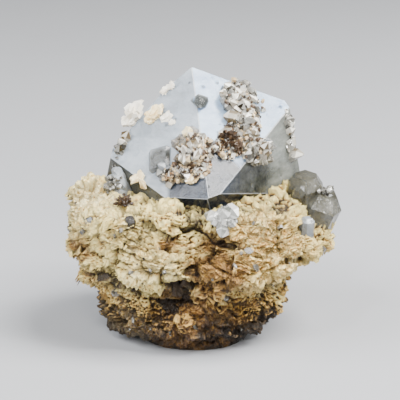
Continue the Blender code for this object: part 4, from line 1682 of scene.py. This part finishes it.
        # Painted shade in the low places, in the gaps round the chips and in the recesses
        deep = np.clip(-broken.rise - 0.4 * self.coarse_rise(grid) - 0.1, 0.0, 1.0)
        hollow = 0.9 * deep + 0.6 * broken.gap
        for recess in self.recess_shade:
            hollow = hollow + recess.amount * near(grid, recess.place, recess.radius)
        hollow = np.clip(hollow, 0.0, 1.0) * (1.0 - 0.6 * stains["pale"])
        # Painted shadow: points moved down out of the crystal at the back are dark, as a shadow gap
        # under it
        hollow = np.maximum(hollow, 0.9 * np.clip(2.0 * fallen, 0.0, 1.0))
        # Painted light and shade: crests of the relief lighter, its dips darker
        fine_crest = broken.rise - self.blurred(broken.rise, 2)
        broad_crest = broken.rise - self.blurred(broken.rise, 9)
        crest_shading = np.clip(4.5 * fine_crest + 0.8 * broad_crest, -1.5, 0.5)
        # The tone takes the painted crest light and shade and the painted shade at the foot
        return {"tone": broken.tone + crest_shading - self.foot_shade(grid), "hollow": hollow,
                "pages": broken.pages, **stains}

    def surface(self) -> tuple[Points, dict[str, Points]]:
        """Work out the broken surface.

        The plain form is moved out by the coarse rise and then by the broken relief. What
        would lie inside the large crystal is moved out of it.

        Returns:
            The grid of points, and the values that the material reads.
        """
        grid = self.plain()
        grid = grid + self.outward(grid) * (self.coarse_rise(grid) - self.inset)[..., None]
        broken = self.broken(grid)
        foot = np.clip(grid[..., 2] / self.foot_height, 0.0, 1.0)
        made = grid + self.outward(grid) * (broken.rise * foot)[..., None]
        made[..., 2] = np.maximum(made[..., 2], 0.0)
        made[0, :, 2] = 0.0
        moved = self.form.drop_out(made.reshape(-1, 3), self.crystal_gap).reshape(made.shape)
        fallen = np.where(made[..., 1] > self.back_start, made[..., 2] - moved[..., 2], 0.0)
        return moved, self.colouring(grid, broken, fallen)

    def rock(self) -> RockSkin:
        """Make the rock as one closed piece, and give its surface."""
        grid, values = self.surface()
        rows, columns = grid.shape[:2]
        count = rows * columns
        points = np.concatenate([grid.reshape(-1, 3), grid[0].mean(axis=0)[None],
                                 grid[-1].mean(axis=0)[None]])
        spread = {key: np.concatenate([part.reshape(-1), part[0, :1], part[-1, :1]])
                  for key, part in values.items()}
        faces = [grid_faces(rows, columns, True),
                 np.concatenate([cap_faces(0, columns, count, False),
                                 cap_faces(count - columns, columns, count + 1, True)])]
        piece = make_piece("matrix_rock", points, faces, spread, smooth=14.0)
        finish_piece(piece, Finish.ROCK.material(), ("matrix",))
        return RockSkin(grid, self.outward(grid), values["hollow"])

    def add_books(self, skin: RockSkin, kind: Books) -> None:
        """Set books of mica plates into the rock, alike in tilt within each region.

        Args:
            skin: The rock's surface.
            kind: The books.
        """
        chance = np.random.default_rng(kind.seed)
        place, out, sunk = skin.pick(chance, kind.count, self.book_foot, self.top_rows // 2)
        region = chipped(place, kind.regions, 500, 1.3)
        lay = unit(np.stack([region.level - 0.5, region.tone - 0.5, 0.35 + 0.0 * region.tone], -1))
        lay = unit(lay * np.sign(np.einsum("ni,ni->n", lay, out))[:, None] + 1.1 * out
                   + 0.16 * chance.normal(size=lay.shape))
        book = np.repeat(np.arange(kind.count), kind.sheets)
        order = np.tile(np.arange(kind.sheets), kind.count) - 0.75 * kind.sheets
        thick = chance.uniform(*kind.thick, kind.count)[book]
        lift = order * thick * chance.uniform(*kind.spacing, kind.count)[book]
        middle = place[book] + lift[:, None] * lay[book]
        middle = middle + 0.13 * chance.normal(size=middle.shape)
        reach = mostly_small(chance, kind.long, 2.2, kind.count)[book]
        reach = reach * chance.uniform(0.75, 1.0, len(book))
        wide = reach * chance.uniform(*kind.width, kind.count)[book]
        spin = 9.0 * region.level + 0.45 * chance.normal(size=kind.count)
        axes = frames_along(lay[book] + 0.07 * chance.normal(size=middle.shape),
                            spin[book] + 0.22 * chance.normal(size=len(book)))
        shade = 0.55 * chance.uniform(0, 1, kind.count)[book]
        shade = shade + 0.45 * chance.uniform(0, 1, len(book))
        kept = (self.form.beyond(middle) > self.nearest) & (middle[:, 2] > self.lowest)
        kept &= (np.abs(middle[:, 0]) < self.widest) & (middle[:, 1] < self.deepest)
        gathered = Gathered()
        gathered.add_by_turns([Shape.plate(seed, bend=1.1) for seed in range(3)], middle[kept],
                              axes[kept], np.stack([reach, wide, thick], axis=-1)[kept],
                              tone=shade[kept], sunk=sunk[book][kept])
        points, faces, own = gathered.joined()
        points[:, 2] = np.maximum(points[:, 2], GROUND_GAP)
        # Painted shade: each plate takes the painted shade of the hollow it sits in and of the foot;
        # plates of a darker tone of their own take more
        values = {"tone": 0.15 + 0.85 * own["tone"] - self.foot_shade(points),
                  "hollow": np.clip(0.4 - own["tone"] + 0.9 * own["sunk"], 0.0, 1.0),
                  "pages": 7.0 * own["tone"], **self.stains(points)}
        piece = make_piece(kind.name, points, [faces], values)
        finish_piece(piece, Finish.ROCK.material())

    def add_bits(self, skin: RockSkin) -> None:
        """Set small glassy quartz grains into the rock."""
        chance = np.random.default_rng(self.bits_seed)
        place, out, _ = skin.pick(chance, self.bits, self.bit_foot, self.top_rows)
        size = mostly_small(chance, self.bit_size, 2.0, (self.bits, 1))
        axes = tumbled(chance, self.bits)
        sizes = size * chance.uniform(0.6, 1.2, (self.bits, 3))
        crystal_piece("quartz_bits", place + 0.2 * out, axes, sizes, chance, Finish.GLASSY,
                      bright=0.5)

    def build(self) -> None:
        """Make the rock, its quartz grains and its books of mica."""
        skin = self.rock()
        self.add_bits(skin)
        for kind in self.books:
            self.add_books(skin, kind)


# Feldspar, rusty mica and grains


@dataclass(frozen=True)
class Lump:
    """A flaky lump on the large crystal.

    Attributes:
        place: Its offset from the aim point, to the right and up.
        size: Long, wide and thick.
        turn: Degrees that it is turned in the crystal's face.
        tip_up: Degrees that its wide side is raised.
    """

    place: Pair
    size: Triple
    turn: float
    tip_up: float


@dataclass(frozen=True)
class ChipPiece:
    """A piece of feldspar that is made of lumps, and the node that it stands for."""

    name: str
    finish: Finish
    nodes: tuple[str, ...]
    lumps: tuple[Lump, ...]


@dataclass
class Chips:
    """Flaky lumps of feldspar that lie on the large crystal's faces."""

    form: CrystalForm
    # Shards in a lump, the part of its box that one fills, and how many forms they have
    shards: int = 20
    share: float = 0.60
    kinds: int = 4
    pieces: tuple[ChipPiece, ...] = (
        ChipPiece("white_block", Finish.FELDSPAR, ("feldspar_block",), (
            Lump((-11.4, 15.5), (2.9, 3.8, 2.8), 12.0, 8.0),
            Lump((-12.3, 13.8), (2.0, 2.4, 2.2), 50.0, -10.0))),
        ChipPiece("cream_plate", Finish.CREAM, ("feldspar_plate",), (
            Lump((-7.9, 15.2), (3.8, 2.4, 1.2), 32.0, 8.0),
            Lump((-8.7, 14.0), (1.8, 1.5, 1.2), 10.0, -8.0))),
        ChipPiece("edge_chips", Finish.FELDSPAR, ("edge_flakes",), (
            Lump((-5.2, 19.9), (2.3, 1.1, 1.1), 40.0, 10.0),
            Lump((-6.2, 19.1), (1.5, 1.2, 1.0), 70.0, -12.0))),
        ChipPiece("left_chips", Finish.CREAM, ("left_flakes",), (
            Lump((-10.8, 4.0), (3.0, 1.7, 1.0), 35.0, 10.0),
            Lump((-9.9, 2.8), (2.2, 1.5, 1.0), -20.0, -12.0))),
        ChipPiece("centre_chips", Finish.CREAM, ("centre_flakes",), (
            Lump((-1.4, 3.8), (3.0, 2.0, 1.5), 15.0, 18.0),
            Lump((-2.8, 4.6), (1.9, 1.4, 1.5), 60.0, -15.0),
            Lump((-0.2, 4.8), (1.8, 1.3, 1.4), -35.0, 20.0))),
        ChipPiece("clump_chips", Finish.CREAM, (), (
            Lump((4.9, 11.7), (2.1, 1.3, 1.6), 20.0, 20.0),
            Lump((4.1, 7.7), (0.9, 1.5, 1.0), 70.0, -12.0),
            Lump((-2.0, 11.9), (1.9, 1.6, 1.6), 40.0, 10.0),
            Lump((-4.4, 5.3), (1.7, 1.5, 1.6), 10.0, 10.0))),
        ChipPiece("face_patch", Finish.FELDSPAR, (), (
            Lump((-5.8, 14.6), (2.4, 1.8, 0.35), 30.0, 0.0),
            Lump((-4.9, 13.6), (1.4, 0.9, 0.3), -10.0, 0.0))))

    def box(self, lump: Lump, normal: Points) -> Points:
        """Give a lump's directions along its length, its width and its thickness.

        Args:
            lump: The lump.
            normal: The direction of the face that it lies on.

        Returns:
            The three directions, one row each.
        """
        right = self.form.view.axes()[0]
        side = unit(right - np.dot(right, normal) * normal)
        turn, tip_up = math.radians(lump.turn), math.radians(lump.tip_up)
        first = math.cos(turn) * side + math.sin(turn) * np.cross(normal, side)
        raised = math.cos(tip_up) * normal + math.sin(tip_up) * np.cross(normal, first)
        return np.array([first, np.cross(raised, first), raised])

    def add_shards(self, gathered: Gathered, lump: Lump, seed: int) -> None:
        """Fill one lump's box with thick shards that lie nearly along the box.

        Args:
            gathered: Where the shards go.
            lump: The lump.
            seed: Which shards to use.
        """
        point, normal = (part[0] for part in self.form.on_solid(np.array([lump.place])))
        box = self.box(lump, normal)
        thick = lump.size[2]
        chance = np.random.default_rng(900 + seed)
        spread = chance.uniform(-0.5, 0.5, (self.shards, 3)) * (1.0 - self.share)
        middle = point + 0.12 * thick * normal + (spread * lump.size) @ box
        half = self.share * np.array(lump.size) * chance.uniform(0.45, 0.95, (self.shards, 3))
        half[:, 2] = 0.34 * thick * chance.uniform(0.25, 1.0, self.shards)
        ways = box[2] + 0.16 * chance.normal(size=(self.shards, 3))
        axes = frames_along(ways, spins(chance, self.shards))
        shapes = [Shape.plate(10 * seed + kind, 5 + kind % 2, 0.1, 0.84)
                  for kind in range(self.kinds)]
        gathered.add_by_turns(shapes, middle, axes, half, tone=chance.uniform(0, 1, self.shards))

    def build(self) -> None:
        """Make the block, the plate and the flakes, each as one piece."""
        for kind in self.pieces:
            gathered = Gathered()
            for number, lump in enumerate(kind.lumps):
                self.add_shards(gathered, lump, number + len(kind.name))
            points, faces, values = gathered.joined()
            piece = make_piece(kind.name, points, [faces], values)
            finish_piece(piece, kind.finish.material(), kind.nodes)


@dataclass(frozen=True)
class Heap:
    """A bristling heap of dark mica plates and crumbs round one place."""

    name: str
    centre: Points
    out: Points
    size: float
    plates: int
    nodes: tuple[str, ...]
    seed: int

    def build(self) -> None:
        """Make the heap as one piece: plates that stand away from its middle, and crumbs."""
        chance = np.random.default_rng(self.seed)
        way = unit(chance.normal(size=(self.plates, 3)) + 0.9 * self.out)
        reach = self.size * chance.uniform(0.15, 0.85, (self.plates, 1))
        place = self.centre + way * reach
        half = self.size * chance.uniform(0.16, 0.42, self.plates)
        sizes = np.stack([half, half * chance.uniform(0.5, 0.9, self.plates),
                          half * chance.uniform(0.15, 0.45, self.plates)], axis=-1)
        tilt = np.cross(way, chance.normal(size=way.shape))
        axes = frames_along(tilt, spins(chance, self.plates))
        flat, lumpy = slice(0, self.plates // 2), slice(self.plates // 2, None)
        sizes[lumpy, 2] = 0.7 * sizes[lumpy, 1]
        gathered = Gathered()
        gathered.add(Shape.plate(self.seed), place[flat], axes[flat], sizes[flat])
        gathered.add(Shape.crumb(self.seed), place[lumpy], axes[lumpy], sizes[lumpy])
        points, faces, _ = gathered.joined()
        tone = hashed(np.floor(points * 1.1).astype(np.int64), self.seed)
        piece = make_piece(self.name, points, [faces], {"tone": tone})
        finish_piece(piece, Finish.RUST.material(), self.nodes)


def build_heaps(form: CrystalForm) -> None:
    """Make the rusty clump on the upper right face and the tuft at the left shoulder."""
    plates = 90
    for name, place, size, nodes, seed in (
            ("rusty_clump", (4.7, 10.4), 2.0, ("rust_clump",), 31),
            ("rusty_clump_low", (6.3, 8.8), 1.6, (), 32),
            ("rusty_clump_top", (5.0, 12.3), 1.1, (), 35)):
        points, normals = form.on_face(np.array([place]))
        Heap(name, points[0] + 0.3 * normals[0], normals[0], size, plates, nodes, seed).build()
    Heap("rusty_tuft", centre=np.array([-13.6, -9.9, 26.2]), out=np.array([0.0, -0.6, 0.8]),
         size=1.7, plates=80, nodes=("rust_tuft",), seed=33).build()


@dataclass(frozen=True)
class ClearCluster:
    """A knot of small clear crystals that point all ways out of one place."""

    name: str
    centre: Triple
    out: Triple
    half: Triple
    count: int
    size: Pair
    nodes: tuple[str, ...]
    seed: int
    bright: float

    def build(self, finish: Finish) -> None:
        """Make the cluster as one piece.

        Args:
            finish: Its finish.
        """
        chance = np.random.default_rng(self.seed)
        ways = unit(chance.normal(size=(self.count, 3)) + np.array(self.out))
        reach = chance.uniform(0.3, 1.0, (self.count, 1))
        place = np.array(self.centre) + ways * np.array(self.half) * reach
        radius = mostly_small(chance, self.size, 1.8, self.count)
        sizes = np.stack([radius, radius * chance.uniform(0.7, 1.0, self.count),
                          radius * chance.uniform(0.9, 1.8, self.count)], axis=-1)
        ways = ways + 0.35 * chance.normal(size=ways.shape)
        axes = frames_along(ways, spins(chance, self.count))
        crystal_piece(self.name, place, axes, sizes, chance, finish, self.nodes,
                      bright=self.bright)


def build_clusters() -> None:
    """Make the white cluster under the tip and the small crystals at both shoulders."""
    ClearCluster("front_cluster", centre=(3.8, -15.2, 24.7), out=(0.0, -1.2, 0.7),
                 half=(2.4, 1.5, 2.1), count=60, size=(0.3, 1.15), nodes=("front_crystals",),
                 seed=61, bright=0.85).build(Finish.SHOULDER)
    ClearCluster("left_shoulder", centre=(-15.6, -1.2, 26.6), out=(-0.3, -0.8, 0.6),
                 half=(2.2, 1.6, 2.2), count=26, size=(0.25, 0.85), nodes=(), seed=62,
                 bright=0.55).build(Finish.GLASSY)
    ClearCluster("right_shoulder", centre=(21.2, -0.6, 25.4), out=(0.6, -0.7, 0.5),
                 half=(1.6, 1.6, 1.6), count=16, size=(0.25, 0.75), nodes=(), seed=63,
                 bright=0.7).build(Finish.GLASSY)


def dress_kept_nodes(form: CrystalForm) -> None:
    """Give the kept solids their finishes."""
    kept = {"main_crystal": LargeCrystalFinish(form).build(),
            "side_crystal": Finish.SIDE.material(),
            "quartz_vein": Finish.VEIN.material(), "left_grain": Finish.VEIN.material(),
            "dark_grain": Finish.DARK.material()}
    for node, material in kept.items():
        solid = bpy.data.objects[node]
        for slot in solid.material_slots:
            slot.material = material
        LOG.info("%s keeps its solid", node)


def main() -> None:
    """Build the view, the studio and every piece of the stone."""
    logging.basicConfig(level=logging.INFO, format="%(name)s %(message)s")
    view = FrontView()
    view.build()
    Studio(view).build()
    form = CrystalForm(view)
    dress_kept_nodes(form)
    MatrixRock(form).build()
    DruseCrust(form).build()
    Chips(form).build()
    build_heaps(form)
    build_clusters()


if __name__ == "__main__":
    main()
